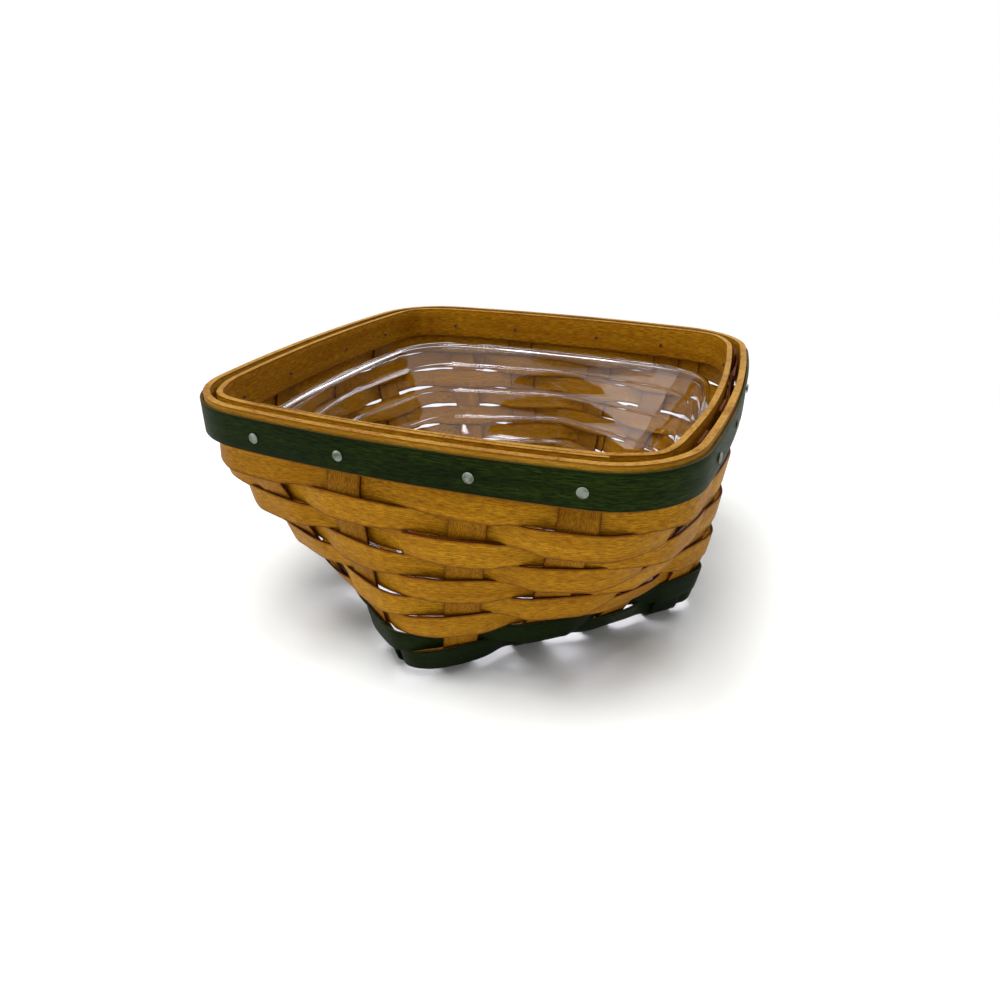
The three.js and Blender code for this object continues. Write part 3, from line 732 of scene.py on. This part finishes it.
# %% Bend the bands
band_step = radians(1.2)
outer_band_end, outer_band_lap = radians(82), radians(34)
strip_end, strip_lap = radians(82), radians(16)
inner_band_end, inner_band_lap, inner_band_ease = radians(308), radians(72), radians(40)
scarf_tip = 0.8
scarf_step = 0.3 * mm
ply_end = 1.3 * mm
ply_tip = 0.5 * mm
band_shares = 4
band_grain_shift = 2.1
outer_band_edge, strip_edge, inner_band_edge = 0.5 * mm, 0.22 * mm, 0.45 * mm


def scarfed(face, thick, lap):
    """Outer and inner face's inset where a band with scarfed ends has turned so far."""
    tip = (thick - air_gap) / 2 * scarf_tip

    def seam(t):
        return thick - tip + (2 * tip + air_gap - thick) * t

    def faces(turn, total):
        start = total - lap
        if turn <= lap:
            return face + seam(turn / lap), face + thick
        if turn < start:
            return face, face + thick
        return face, face + seam((turn - start) / lap) - air_gap

    return faces


def plain_lap(face, thick, lap, easing):
    """The same for the inner band, whose thin end passes inside its square-cut end."""
    def faces(turn, total):
        start = total - lap
        if turn <= lap:
            return face, face + ply_end + (thick - ply_end) * turn / lap
        if turn >= start:
            t = (turn - start) / lap
            outer = face + ply_end + (thick - ply_end) * t + air_gap
            return outer, outer + thick + (ply_tip - thick) * t
        drawn = (ply_end + air_gap) * ease(max(0, 1 - (start - turn) / easing))
        return face + drawn, face + drawn + thick

    return faces


def bent_band(name, start, turning, lap, bottom, top, thick, faces, edge, grain, outward=None):
    """A band that starts at an angle, turns left (1) or right (-1) once round, and laps. faces
    gives its insets, grain where its grain starts, and outward how far corners draw it out."""
    total = 2 * pi + lap
    step = scarf_step / rim_half
    turns = {0, lap, lap + step, 2 * pi - step, 2 * pi, total}
    count = ceil(total / band_step)
    for i in range(1, count):
        turn = total * i / count
        if all(abs(turn - t) > 2 * step for t in (lap, lap + step, 2 * pi)):
            turns.add(turn)
    rows, thin = [], []
    for turn in sorted(turns, reverse=turning < 0):
        outer, inner = faces(turn, total)
        angle = start + turning * turn
        at, _ = rim_outline(outer - outward(angle) if outward else outer)
        point = at(angle)
        rows.append([raised(point, bottom + (top - bottom) * j / band_shares)
                     for j in range(band_shares + 1)])
        thin.append((inner - outer) / thick)
    return bent_strip(name, rows, top - bottom, thick, edge, grain, thin)


outer_band = bent_band("band_outside", outer_band_end, 1, outer_band_lap, band_bottom, rim_top,
                       outer_band_thick, scarfed(0, outer_band_thick, outer_band_lap),
                       outer_band_edge, 0)
dress(outer_band, "outer_band")
strip_top = rim_top - strip_below_rim
trim = bent_band("trim_green", strip_end, 1, strip_lap, strip_top - strip_height, strip_top,
                 strip_thick, scarfed(-strip_face, strip_thick, strip_lap), strip_edge,
                 band_grain_shift)
dress(trim, "trim_strip")
inner_faces = plain_lap(inner_band_face, inner_band_thick, inner_band_lap, inner_band_ease)
inner_band = bent_band("band_inside", inner_band_end, -1, inner_band_lap,
                       rim_top - inner_band_height, rim_top, inner_band_thick, inner_faces,
                       inner_band_edge, 2 * band_grain_shift, pinch_at)
dress(inner_band, "inner_band")
print("bands:", [len(p.data.polygons) for p in (outer_band, trim, inner_band)], "faces")

# %% [markdown]
# ## The tacks
# One tack goes through each upright and all the layers of the rim. Its head is a low dome with a
# ring pressed into it. It starts as a short cylinder whose upper face is inset and raised in
# steps, and whose lower face is inset and drawn out into the shank and its blunted point. The
# finished tack is copied sixteen times, each copy turned to face straight out where it is driven
# in.

# %% Model one tack and drive sixteen
tack_height = rim_top - 8.3 * mm
tack_aside = 1.6 * mm
tack_head_radius = 1.8 * mm
tack_shank_radius = 0.8 * mm
tack_proud = 0.5 * mm
tack_sides = 28
shank_length = strip_face + inner_band_face + inner_band_thick + tack_proud
head_edge = 0.2 * mm
head_bevel = 0.12 * mm
point_length = 1.0 * mm
blunt_share = 0.75
# Each step of the dome is set in and then raised by so many millimetres. The third makes the ring.
dome_steps = ((0.24, 0.2), (0.34, 0.12), (0.1, -0.07), (0.12, 0.08), (0.36, 0.04), (0.3, 0.01))


def select_flat(piece, side):
    """Selects, in edit mode, only the farthest flat end that faces side (1 up, -1 down)."""
    bpy.ops.mesh.select_all(action="DESELECT")
    bpy.ops.object.mode_set(mode="OBJECT")
    ends = [f for f in piece.data.polygons if f.normal.z * side > 0.9]
    far = max(f.center.z * side for f in ends)
    for face in ends:
        face.select = abs(face.center.z * side - far) < 1e-6
    bpy.ops.object.mode_set(mode="EDIT")


def draw_out(length):
    bpy.ops.mesh.extrude_region_move(TRANSFORM_OT_translate={"value": (0, 0, -length)})


bpy.ops.mesh.primitive_cylinder_add(vertices=tack_sides, radius=tack_head_radius, depth=head_edge,
                                    location=(0, 0, air_gap + head_edge / 2))
tack = bpy.context.object
bpy.ops.object.transform_apply(location=True, rotation=True, scale=True)
bpy.ops.object.mode_set(mode="EDIT")
bpy.ops.mesh.select_mode(type="FACE")
select_flat(tack, 1)
for width, rise in dome_steps:
    bpy.ops.mesh.inset(thickness=width * mm, depth=0)
    bpy.ops.transform.translate(value=(0, 0, rise * mm))
select_flat(tack, -1)
bpy.ops.mesh.inset(thickness=tack_head_radius - tack_shank_radius, depth=0)
draw_out(shank_length + air_gap - point_length)
draw_out(point_length)
bpy.ops.transform.resize(value=(blunt_share, blunt_share, 1))
bpy.ops.mesh.select_all(action="SELECT")
bpy.ops.mesh.normals_make_consistent(inside=False)
bpy.ops.object.mode_set(mode="OBJECT")
apply_modifier(tack, "BEVEL", width=head_bevel, segments=2, limit_method="ANGLE",
               angle_limit=radians(60))
bpy.ops.object.shade_smooth_by_angle(angle=radians(50))
give_slots(tack)
for face in tack.data.polygons:
    face.material_index = 1 if face.center.z < 0 else 0

tacks = []
for number in range(upright_count):
    under_head, angle = across_outline(rim_outline(-strip_face)[1], number, tack_aside)
    out = Vector((sin(angle), -cos(angle), 0))
    copy = bpy.data.objects.new(f"tack_{number + 1:02d}_head", tack.data.copy())
    bpy.context.scene.collection.objects.link(copy)
    turn = out.to_track_quat("Z", "Y").to_matrix().to_4x4()
    copy.data.transform(Matrix.Translation(raised(under_head, tack_height)) @ turn)
    dress(copy, f"tack_{number + 1:02d}")
    tacks.append(copy)
bpy.data.objects.remove(tack)
print("tacks:", len(tacks), "faces in one:", len(tacks[0].data.polygons))

# %% [markdown]
# ## The liner
# The liner is one thin pressed shell. Its floor follows the turned foot and its lip the square
# rim, so every level is a blend of the two outlines. It starts as a grid, one direction round the
# liner and the other along its cross-section: from the middle of the floor up the outer face,
# round the bead of the lip and back down the inner face. The seam and the two middles are merged
# into a closed shell.

# %% Press the liner
liner_top = rim_top - 15.9 * mm
liner_wall = 0.9 * mm
liner_lip_width = 2.0 * mm
liner_lip_height = 2.2 * mm
lip_round = 0.9 * mm
liner_top_corner = rim_corner - 7.4 * mm
liner_foot_half = foot_half - 10 * mm
liner_foot_corner = foot_corner + 2 * mm
liner_rounding = 1.8 * mm
liner_bottom = upright_thick * 2 + air_gap * 2
ledge_count = 4
ledge_below_lip = 10.2 * mm
ledge_pitch = 12 * mm
ledge_step = 0.8 * mm
ledge_heights = [liner_top - ledge_below_lip - i * ledge_pitch
                 for i in reversed(range(ledge_count))]
liner_top_half = rim_half - 11.4 * mm - liner_lip_width - ledge_count * ledge_step
liner_around = 288
ledge_round = 1.0 * mm
# Rises and reaches of a ledge's points, as shares of its rounding, under its edge and over it.
under_ledge = ((-1, 0), (-0.3, 0.15), (0, 0.6))
over_ledge = ((0.1, -0.3), (0.7, 0))
wall_step = 4 * mm
foot_facets, lip_facets = 6, 8


def liner_profile():
    """Heights and outward offsets of the liner's outer face, from its floor up to its lip."""
    points = []
    for i in range(foot_facets + 1):
        a = quarter * i / foot_facets
        points.append((liner_bottom + liner_rounding * (1 - cos(a)), liner_rounding * (sin(a) - 1)))
    outward = 0
    low = liner_bottom + liner_rounding
    lip_under = liner_top - liner_lip_height
    for height, step in (*((z, ledge_step) for z in ledge_heights), (lip_under, liner_lip_width)):
        count = max(1, round((height - low) / wall_step))
        for i in range(1, count):
            points.append((low + (height - ledge_round - low) * i / count, outward))
        for shape, jump in ((under_ledge, step), (over_ledge, 0)):
            for rise, reach in shape:
                points.append((height + ledge_round * rise, outward + ledge_round * reach))
            outward += jump
        low = height + ledge_round
    return points


def closed_profile(outer):
    """The outer face, then round the lip's bead, and back down the inner face one wall inside."""
    reach = outer[-1][1]
    bead = []
    for i in range(1, lip_facets + 1):
        a = quarter * i / lip_facets
        bead.append((liner_top - lip_round * (1 - sin(a)), reach - lip_round * (1 - cos(a))))
    inner = [(z + liner_wall, out - liner_wall) for z, out in outer[:-4]]
    rim = inner[-1][1]
    for i in range(lip_facets):
        a = quarter * i / lip_facets
        bead.append((liner_top - lip_round * (1 - cos(a)), rim + lip_round * (1 - sin(a))))
    inner = [point for point in inner if point[0] < liner_top - lip_round]
    return outer + bead + inner[::-1]


def liner_row(height, outward):
    share = (height - liner_bottom) / (liner_top - liner_bottom)
    low_at, _ = rounded_square(liner_foot_half + outward, liner_foot_corner + outward, 0, foot_turn)
    high_at, _ = rounded_square(liner_top_half + outward, liner_top_corner + outward, rim_bow, 0)
    row = []
    for i in range(liner_around + 1):
        angle = 2 * pi * i / liner_around
        row.append(raised(low_at(angle).lerp(high_at(angle), share), height))
    return row


profile = closed_profile(liner_profile())
print("points in the liner's cross-section:", len(profile))

# %% [markdown]
# The two floors close the shell at their middles. The ledges are thin rings that stiffen the real
# liner, and here they catch the light.

# %% Carry a grid round the liner
levels = [liner_row(height, outward) for height, outward in profile]
floor_shares = (0, 0.2, 0.5, 0.8, 0.93)


def across_floor(edge, height):
    """Rows from the middle of a floor out to its edge."""
    return [[point * share + Vector((0, 0, height * (1 - share))) for point in edge]
            for share in floor_shares]


levels = across_floor(levels[0], liner_bottom) + levels
levels += across_floor(levels[-1], liner_bottom + liner_wall)[::-1]
liner, _ = carried_grid("liner_clear", list(zip(*levels)))
bpy.ops.object.mode_set(mode="EDIT")
bpy.ops.mesh.select_all(action="SELECT")
bpy.ops.mesh.remove_doubles(threshold=1e-6)
bpy.ops.mesh.normals_make_consistent(inside=False)
bpy.ops.object.mode_set(mode="OBJECT")
bpy.ops.object.shade_smooth_by_angle(angle=radians(60))
dress(liner, "liner", "liner")
print("liner faces:", len(liner.data.polygons), "highest:", round(liner_top / mm, 1), "mm")

# %% [markdown]
# ## Building blocks for finishes
# A finish is a small graph of nodes. These helpers add a node and fill its sockets, in order or
# by name, with a value or with another node's output. Colours are written as they look on screen,
# from 0 to 255, and turned into the linear light that shaders mix.

# %% Helpers for node graphs
def srgb(red, green, blue):
    linear = []
    for value in (red / 255, green / 255, blue / 255):
        linear.append(value / 12.92 if value <= 0.04045 else ((value + 0.055) / 1.055) ** 2.4)
    return (*linear, 1.0)


def fill(tree, sockets, values):
    """Gives sockets, in order or by name, their values or another node's outputs."""
    for key, value in values.items() if isinstance(values, dict) else enumerate(values):
        if isinstance(value, bpy.types.NodeSocket):
            tree.links.new(value, sockets[key])
        else:
            sockets[key].default_value = value


def node(tree, kind, inputs=(), output=0, **settings):
    """Adds a node, fills its sockets and returns one of its outputs."""
    made = tree.nodes.new(kind)
    for name, value in settings.items():
        setattr(made, name, value)
    fill(tree, made.inputs, inputs)
    return made.outputs[output]


def object_place(tree):
    return node(tree, "ShaderNodeTexCoord", output="Object")


def parted(tree, vector):
    """The three numbers of a vector."""
    parts = tree.nodes.new("ShaderNodeSeparateXYZ")
    fill(tree, parts.inputs, (vector,))
    return parts.outputs


def math(tree, operation, *values):
    return node(tree, "ShaderNodeMath", values, operation=operation)


def times(tree, first, second):
    return math(tree, "MULTIPLY", first, second)


def ramp(tree, value, low, high, start=0.0, end=1.0):
    """Eases from start to end as the value goes from low to high."""
    return node(tree, "ShaderNodeMapRange", (value, low, high, start, end),
                interpolation_type="SMOOTHSTEP")


def mixed(tree, factor, first, second):
    """The first colour, or the second where the factor is 1."""
    return node(tree, "ShaderNodeMix", {0: factor, 6: first, 7: second}, output=2,
                data_type="RGBA")


def noise(tree, vector, scale, detail, roughness):
    return node(tree, "ShaderNodeTexNoise",
                {"Vector": vector, "Scale": scale, "Detail": detail, "Roughness": roughness})


def stretched(tree, vector, along, across):
    return node(tree, "ShaderNodeVectorMath", (vector, (along, across, 1.0)),
                operation="MULTIPLY")


def new_group(name, inputs, outputs):
    """An empty node group: its tree, the sockets it is given and those that it has to fill."""
    tree = bpy.data.node_groups.new(name, "ShaderNodeTree")
    for key in inputs:
        kind = "NodeSocketVector" if key in ("UV", "Place") else "NodeSocketFloat"
        tree.interface.new_socket(key, in_out="INPUT", socket_type=kind)
    for key in outputs:
        tree.interface.new_socket(key, in_out="OUTPUT", socket_type="NodeSocketFloat")
    return tree, tree.nodes.new("NodeGroupInput").outputs, tree.nodes.new("NodeGroupOutput").inputs


def placed(tree, group, values):
    """Places the group in a material, fills its inputs by name and returns its outputs."""
    used = tree.nodes.new("ShaderNodeGroup")
    used.node_tree = group
    fill(tree, used.inputs, values)
    return used.outputs


def bumped(tree, strength, distance, height):
    return node(tree, "ShaderNodeBump",
                {"Strength": strength, "Distance": distance, "Height": height})


print("node helpers ready")

# %% [markdown]
# ## The grain of a splint
# A splint is split or sliced along the trunk, so its grain runs along it in fine broken lines,
# with broader light and dark bands under them and short dark pores between. All of it is noise,
# stretched along the strip's UV map, whose numbers are metres. The group gives a slow tone, the
# lines, the pores, a mask along the long edges for painted shade there, and a height for the bump.
# Every wood gives it its own width, lines per metre and length of line.

# %% Grain as a node group
# The first three scales are changes of the noise in a metre along and across the strip. That of
# the pores multiplies the lines' own, so a pore is shorter and narrower than a line.
slow_scale, band_scale, waver_scale = (9.0, 90.0), (22.0, 420.0), (60.0, 60.0)
waver_share = 1.2
pore_scale = (2.6, 2.1)
pore_depth = 0.35
# How far in from a long edge the painted shade reaches.
edge_shade_width = 1.1 * mm


def grain_group():
    tree, given, result = new_group(
        "splint_grain", ("UV", "Width", "Lines per metre", "Line length"),
        ("Tone", "Lines", "Pores", "Edge shade", "Height"))
    uv = given["UV"]
    slow = noise(tree, stretched(tree, uv, *slow_scale), 1.0, 3.0, 0.6)
    bands = noise(tree, stretched(tree, uv, *band_scale), 1.0, 2.0, 0.5)
    parts = parted(tree, uv)
    along = math(tree, "DIVIDE", parts[0], given["Line length"])
    across = times(tree, parts[1], given["Lines per metre"])
    waver = noise(tree, stretched(tree, uv, *waver_scale), 1.0, 1.0, 0.5)
    across = math(tree, "ADD", across, times(tree, waver, waver_share))
    fibre = node(tree, "ShaderNodeCombineXYZ", (along, across, 0.0))
    lines = noise(tree, fibre, 1.0, 4.0, 0.62)
    pores = ramp(tree, noise(tree, stretched(tree, fibre, *pore_scale), 1.0, 1.0, 0.5), 0.60, 0.72)
    tone = math(tree, "ADD", times(tree, slow, 0.6), times(tree, bands, 0.4))
    # 1 at a long edge, easing to 0 farther in: the mask for the painted shade along the edges.
    far = math(tree, "SUBTRACT", given["Width"], parts[1])
    edge = ramp(tree, math(tree, "MINIMUM", parts[1], far), 0.0, edge_shade_width, 1.0, 0.0)
    height = math(tree, "SUBTRACT", lines, times(tree, pores, pore_depth))
    fill(tree, result, {"Tone": ramp(tree, tone, 0.36, 0.64), "Lines": ramp(tree, lines, 0.4, 0.6),
                        "Pores": pores, "Edge shade": edge, "Height": height})
    return tree


splint_grain = grain_group()
print("grain nodes:", len(splint_grain.nodes))

# %% [markdown]
# ## Stained wood
# The foot was dipped in green stain when the floor was done, and cut edges took the stain in
# patches. Two more groups make the masks for that. Each mask is a number from 0 to 1, and a
# material mixes its own colours by it.

# %% Masks for the dipped foot and the cut edges
foot_green = srgb(10, 17, 4)
stain_top = row_bottom(row_count - 1)
stain_blur = 0.4 * mm
stain_reach = (foot_half - 8 * mm, foot_half - 6 * mm)
patch_scale = 70.0
fibre_scale = 900.0


def stain_group():
    """1 on the outer bends of the splints and behind the lowest row, where the foot is stained."""
    tree, given, result = new_group("foot_stain", ("Place", "Top"), ("Stained",))
    reach = []
    for angle in (foot_turn, foot_turn + quarter):
        heading = (cos(angle), sin(angle), 0.0)
        along = node(tree, "ShaderNodeVectorMath", (given["Place"], heading), output=1,
                     operation="DOT_PRODUCT")
        reach.append(math(tree, "ABSOLUTE", along))
    outside = ramp(tree, math(tree, "MAXIMUM", *reach), *stain_reach)
    above = math(tree, "SUBTRACT", parted(tree, given["Place"])[2], given["Top"])
    low = ramp(tree, above, -stain_blur, stain_blur, 1.0, 0.0)
    fill(tree, result, {"Stained": times(tree, outside, low)})
    return tree


def fibre_group():
    """Across the grain, wood shows its fibres as fine dots, in patches that took more stain."""
    tree, given, result = new_group("cut_fibres", ("Place", "Fibre scale"), ("Fibres", "Stain"))
    fibres = noise(tree, given["Place"], given["Fibre scale"], 3.0, 0.6)
    patches = noise(tree, given["Place"], patch_scale, 2.0, 0.5)
    stain = math(tree, "ADD", times(tree, ramp(tree, fibres, 0.4, 0.7), 0.55),
                 times(tree, ramp(tree, patches, 0.4, 0.7), 0.45))
    fill(tree, result, {"Fibres": fibres, "Stain": stain})
    return tree


foot_stain = stain_group()
cut_fibres = fibre_group()
print("the foot's stain ends", round(stain_top / mm, 1), "mm above the floor")

# %% [markdown]
# One function makes every face: tones of the stain, mixed by the grain's masks, painted shade
# along the long edges, a satin varnish that is a little duller in the pores, and a bump from the
# grain. The other makes every cut edge. They can be functions because each strip of this basket
# has just these two kinds of surface.

# %% Functions for faces and for cut edges
wood_relief = 0.06 * mm
cut_relief = 0.05 * mm
wood_shine = 0.05
# How strongly the painted shade along the long edges covers the wood's colour.
edge_shade_share = 0.72
line_gloss, pore_gloss = 0.12, 0.15


def new_material(name):
    material = bpy.data.materials.new(name)
    material.use_nodes = True
    tree = material.node_tree
    return material, tree, tree.nodes["Principled BSDF"]


def dipped_in_green(tree, colour):
    """The colour, with the foot's stain over it."""
    stained = placed(tree, foot_stain, {"Place": object_place(tree), "Top": stain_top})["Stained"]
    return mixed(tree, stained, colour, foot_green)


def stained_wood(name, width, colours, lines, length, contrast, pores, gloss=0.5,
                 shine=wood_shine, dipped=False):
    """colours are those of the dark lines, the wood in its two tones, and the painted shade along
    the long edges. lines counts them in a metre of width, length is theirs, and contrast and pores
    say how dark the lines and the pores show."""
    material, tree, shader = new_material(name)
    dark, middle, light, edge = (srgb(*colour) for colour in colours)
    uv = node(tree, "ShaderNodeUVMap", uv_map="UVMap")
    out = placed(tree, splint_grain,
                 {"UV": uv, "Width": width, "Lines per metre": lines, "Line length": length})
    colour = mixed(tree, out["Tone"], middle, light)
    dark_lines = times(tree, math(tree, "SUBTRACT", 1.0, out["Lines"]), contrast)
    colour = mixed(tree, dark_lines, colour, dark)
    colour = mixed(tree, times(tree, out["Pores"], pores), colour, dark)
    # Painted shade: the wood darkens along its long edges, for the shadow where rows pass under
    # each other and beside the uprights.
    colour = mixed(tree, times(tree, out["Edge shade"], edge_shade_share), colour, edge)
    if dipped:
        colour = dipped_in_green(tree, colour)
    rough = math(tree, "ADD", gloss - line_gloss / 2, times(tree, out["Lines"], line_gloss))
    rough = math(tree, "ADD", rough, times(tree, out["Pores"], pore_gloss))
    fill(tree, shader.inputs, {"Base Color": colour, "Specular IOR Level": shine,
                               "Roughness": rough,
                               "Normal": bumped(tree, 0.6, wood_relief, out["Height"])})
    return material


def cut_edge(name, pale, brown, dipped=False):
    """Edges and ends: fine fibres, pale where the stain hardly reached and brown where it did."""
    material, tree, shader = new_material(name)
    out = placed(tree, cut_fibres, {"Place": object_place(tree), "Fibre scale": fibre_scale})
    colour = mixed(tree, out["Stain"], srgb(*pale), srgb(*brown))
    if dipped:
        colour = dipped_in_green(tree, colour)
    fill(tree, shader.inputs, {"Base Color": colour, "Specular IOR Level": wood_shine,
                               "Roughness": ramp(tree, out["Fibres"], 0.3, 0.7, 0.5, 0.62),
                               "Normal": bumped(tree, 0.5, cut_relief, out["Fibres"])})
    return material


print("groups:", [group.name for group in bpy.data.node_groups])

# %% [markdown]
# Each wood then only needs its colours, how many lines it has in a metre of width, how long they
# are, and how dark the lines and the pores show. The uprights' lines are short, and those of the
# green strip long and dark. The edges of the bands stayed pale, and the other edges are dark; those
# of the honey rows and of the splints are darker still, as painted shade in the gaps between rows.

# %% Finish the wood
# The last colour of every wood is the painted shade along its long edges.
honey_dark, honey_edge_shade = (92, 48, 3), (90, 41, 4)
weaver_wood = stained_wood(
    "stained_weaver", row_height, (honey_dark, (166, 111, 9), (194, 138, 24), honey_edge_shade),
    3000.0, 3.2 * mm, 0.58, 0.65)
splint_wood = stained_wood(
    "stained_splint", upright_width, ((84, 46, 4), (146, 94, 10), (172, 118, 18), honey_edge_shade),
    2600.0, 1.6 * mm, 0.6, 0.6, dipped=True)
outer_wood = stained_wood(
    "outer_band_wood", outer_band_height, (honey_dark, (160, 110, 22), (184, 136, 40), honey_edge_shade),
    2800.0, 4 * mm, 0.45, 0.5)
inner_wood = stained_wood(
    "inner_band_wood", inner_band_height, (honey_dark, (164, 106, 9), (188, 132, 20), honey_edge_shade),
    2800.0, 4 * mm, 0.62, 0.65)
trim_green = stained_wood(
    "trim_green", strip_height, ((5, 11, 2), (21, 34, 3), (39, 54, 9), (10, 18, 2)),
    2200.0, 4.5 * mm, 0.75, 0.7, shine=0.04)
deep_green = stained_wood(
    "deep_green", row_height, ((4, 8, 2), (14, 26, 5), (26, 38, 10), (7, 13, 2)),
    2800.0, 3.5 * mm, 0.5, 0.5, gloss=0.48, shine=0.03)
pale_cut = cut_edge("pale_cut_edge", (176, 132, 56), (118, 72, 20))
# Painted shade: the weavers' and splints' cut edges are darker than their stain, for the shadow in
# the gaps between rows and beside the uprights.
brown_cut_and_gap_shade = cut_edge("brown_cut_edge", (88, 38, 6), (54, 20, 3))
splint_cut_and_gap_shade = cut_edge("splint_cut_edge", (82, 34, 5), (52, 19, 3), dipped=True)
green_cut = cut_edge("green_cut_edge", (30, 48, 24), (92, 56, 22))


def finish(piece, *materials):
    """Fills the slots of a strip, whose cut edges already point to the second one."""
    while len(piece.data.materials) < len(materials):
        piece.data.materials.append(None)
    for index, material in enumerate(materials):
        piece.data.materials[index] = material


for piece in (*weavers[:-2], hidden_row):
    finish(piece, weaver_wood, brown_cut_and_gap_shade)
for piece in weavers[-2:]:
    finish(piece, deep_green, green_cut)
for piece in splints:
    finish(piece, splint_wood, splint_cut_and_gap_shade)
finish(outer_band, outer_wood, pale_cut)
finish(inner_band, inner_wood, pale_cut)
finish(trim, trim_green, green_cut)
print("wood finishes:", [m.name for m in bpy.data.materials][-9:])

# %% [markdown]
# ## Metal and clear plastic
# The tacks have heads of dull grey metal, with fine scratches and a darker bloom here and there,
# and brown shanks. The liner is glass to the renderer: full transmission and a smooth surface. A
# lamp's light would need far too many samples to find its way through, so for shadow rays the
# shader gives way to a transparent one.

# %% Metal and plastic finishes
tack_metal, tree, shader = new_material("tack_metal")
scratches = noise(tree, object_place(tree), 1400.0, 3.0, 0.6)
bloom = noise(tree, object_place(tree), 420.0, 2.0, 0.5)
grey = mixed(tree, ramp(tree, bloom, 0.4, 0.7), srgb(128, 134, 124), srgb(84, 86, 78))
fill(tree, shader.inputs, {"Base Color": grey, "Metallic": 0.85,
                           "Roughness": ramp(tree, scratches, 0.3, 0.7, 0.3, 0.48),
                           "Normal": bumped(tree, 0.4, 0.03 * mm, scratches)})
tack_point, tree, shader = new_material("tack_point")
fill(tree, shader.inputs, {"Base Color": srgb(62, 28, 8), "Roughness": 0.7})
for piece in tacks:
    finish(piece, tack_metal, tack_point)

clear_plastic, tree, shader = new_material("clear_plastic")
ripple = noise(tree, object_place(tree), 55.0, 2.0, 0.5)
fill(tree, shader.inputs, {"Base Color": (0.83, 0.81, 0.87, 1.0), "Transmission Weight": 1.0,
                           "IOR": 1.47, "Roughness": ramp(tree, ripple, 0.3, 0.7, 0.0, 0.025),
                           "Normal": bumped(tree, 0.14, 0.4 * mm, ripple)})
through_glass = node(tree, "ShaderNodeBsdfTransparent", {"Color": (0.55, 0.54, 0.57, 1.0)})
shadow_ray = node(tree, "ShaderNodeLightPath", output="Is Shadow Ray")
blend = node(tree, "ShaderNodeMixShader", (shadow_ray, shader.outputs[0], through_glass))
fill(tree, tree.nodes["Material Output"].inputs, {"Surface": blend})
finish(liner, clear_plastic)
print("metal and plastic done")

# %% [markdown]
# ## Floor, backdrop and light
# The floor is a wide pale plane that runs out to a white world. Near the basket it is plain matt
# white and takes the soft shadow under the leaning walls. Farther out, what the camera sees of it
# glows by itself, so the floor and the world meet without a line.

# %% Floor and world
floor_colour = (0.93, 0.95, 0.94, 1.0)
floor_size = 30
shadow_reach = (0.2, 0.5)
world_light = 0.2

bpy.ops.mesh.primitive_plane_add(size=floor_size)
floor = bpy.context.object
floor.name = "floor"
pale, tree, shader = new_material("pale_floor")
fill(tree, shader.inputs, {"Base Color": floor_colour, "Roughness": 0.8})


def seen_rays(tree):
    """1 for rays whose end shows in the picture, straight, by gloss or through the liner."""
    path = tree.nodes.new("ShaderNodeLightPath").outputs
    seen = math(tree, "MAXIMUM", path["Is Camera Ray"], path["Is Glossy Ray"])
    return math(tree, "MAXIMUM", seen, path["Is Transmission Ray"])


glow = node(tree, "ShaderNodeEmission")
distance = node(tree, "ShaderNodeVectorMath", (object_place(tree),), output=1, operation="LENGTH")
far = times(tree, seen_rays(tree), ramp(tree, distance, *shadow_reach))
blend = node(tree, "ShaderNodeMixShader", (far, shader.outputs[0], glow))
fill(tree, tree.nodes["Material Output"].inputs, {"Surface": blend})
floor.data.materials.append(pale)

world = bpy.data.worlds.new("white_room")
bpy.context.scene.world = world
world.use_nodes = True
tree = world.node_tree
strength = ramp(tree, seen_rays(tree), 0.0, 1.0, world_light, 1.0)
fill(tree, tree.nodes["Background"].inputs, {"Color": (1, 1, 1, 1), "Strength": strength})
print("floor", floor_size, "m wide, world", world.name)

# %% [markdown]
# The light is soft: besides the even world, one strong lamp almost overhead makes the shadow, one
# behind puts bright lines on the liner, and two weak ones in front fill the woven sides. Those
# stand far to the right and left, where the liner's back wall doesn't mirror them to the camera.
# Every lamp is square and points at the middle of the basket.

# %% Lamps
lamps = {
    "key": ((-0.2, -0.45, 2.3), 1.1, 50.0),
    "back": ((1.0, 2.1, 1.55), 1.1, 24.0),
    "front": ((0.9, -1.8, 1.1), 0.35, 4.5),
    "left": ((-1.5, -1.2, 1.1), 1.5, 11.0),
}
lit_middle = Vector((0, 0, 0.05))
for name, (place, size, power) in lamps.items():
    bpy.ops.object.light_add(type="AREA", location=place)
    lamp = bpy.context.object
    lamp.data.size = size
    lamp.data.energy = power
    lamp.rotation_euler = (lit_middle - lamp.location).to_track_quat("-Z", "Y").to_euler()
    print(name, "lamp", round(lamp.location.length, 2), "m away,", power, "W")
bpy.context.scene.view_settings.view_transform = "Standard"
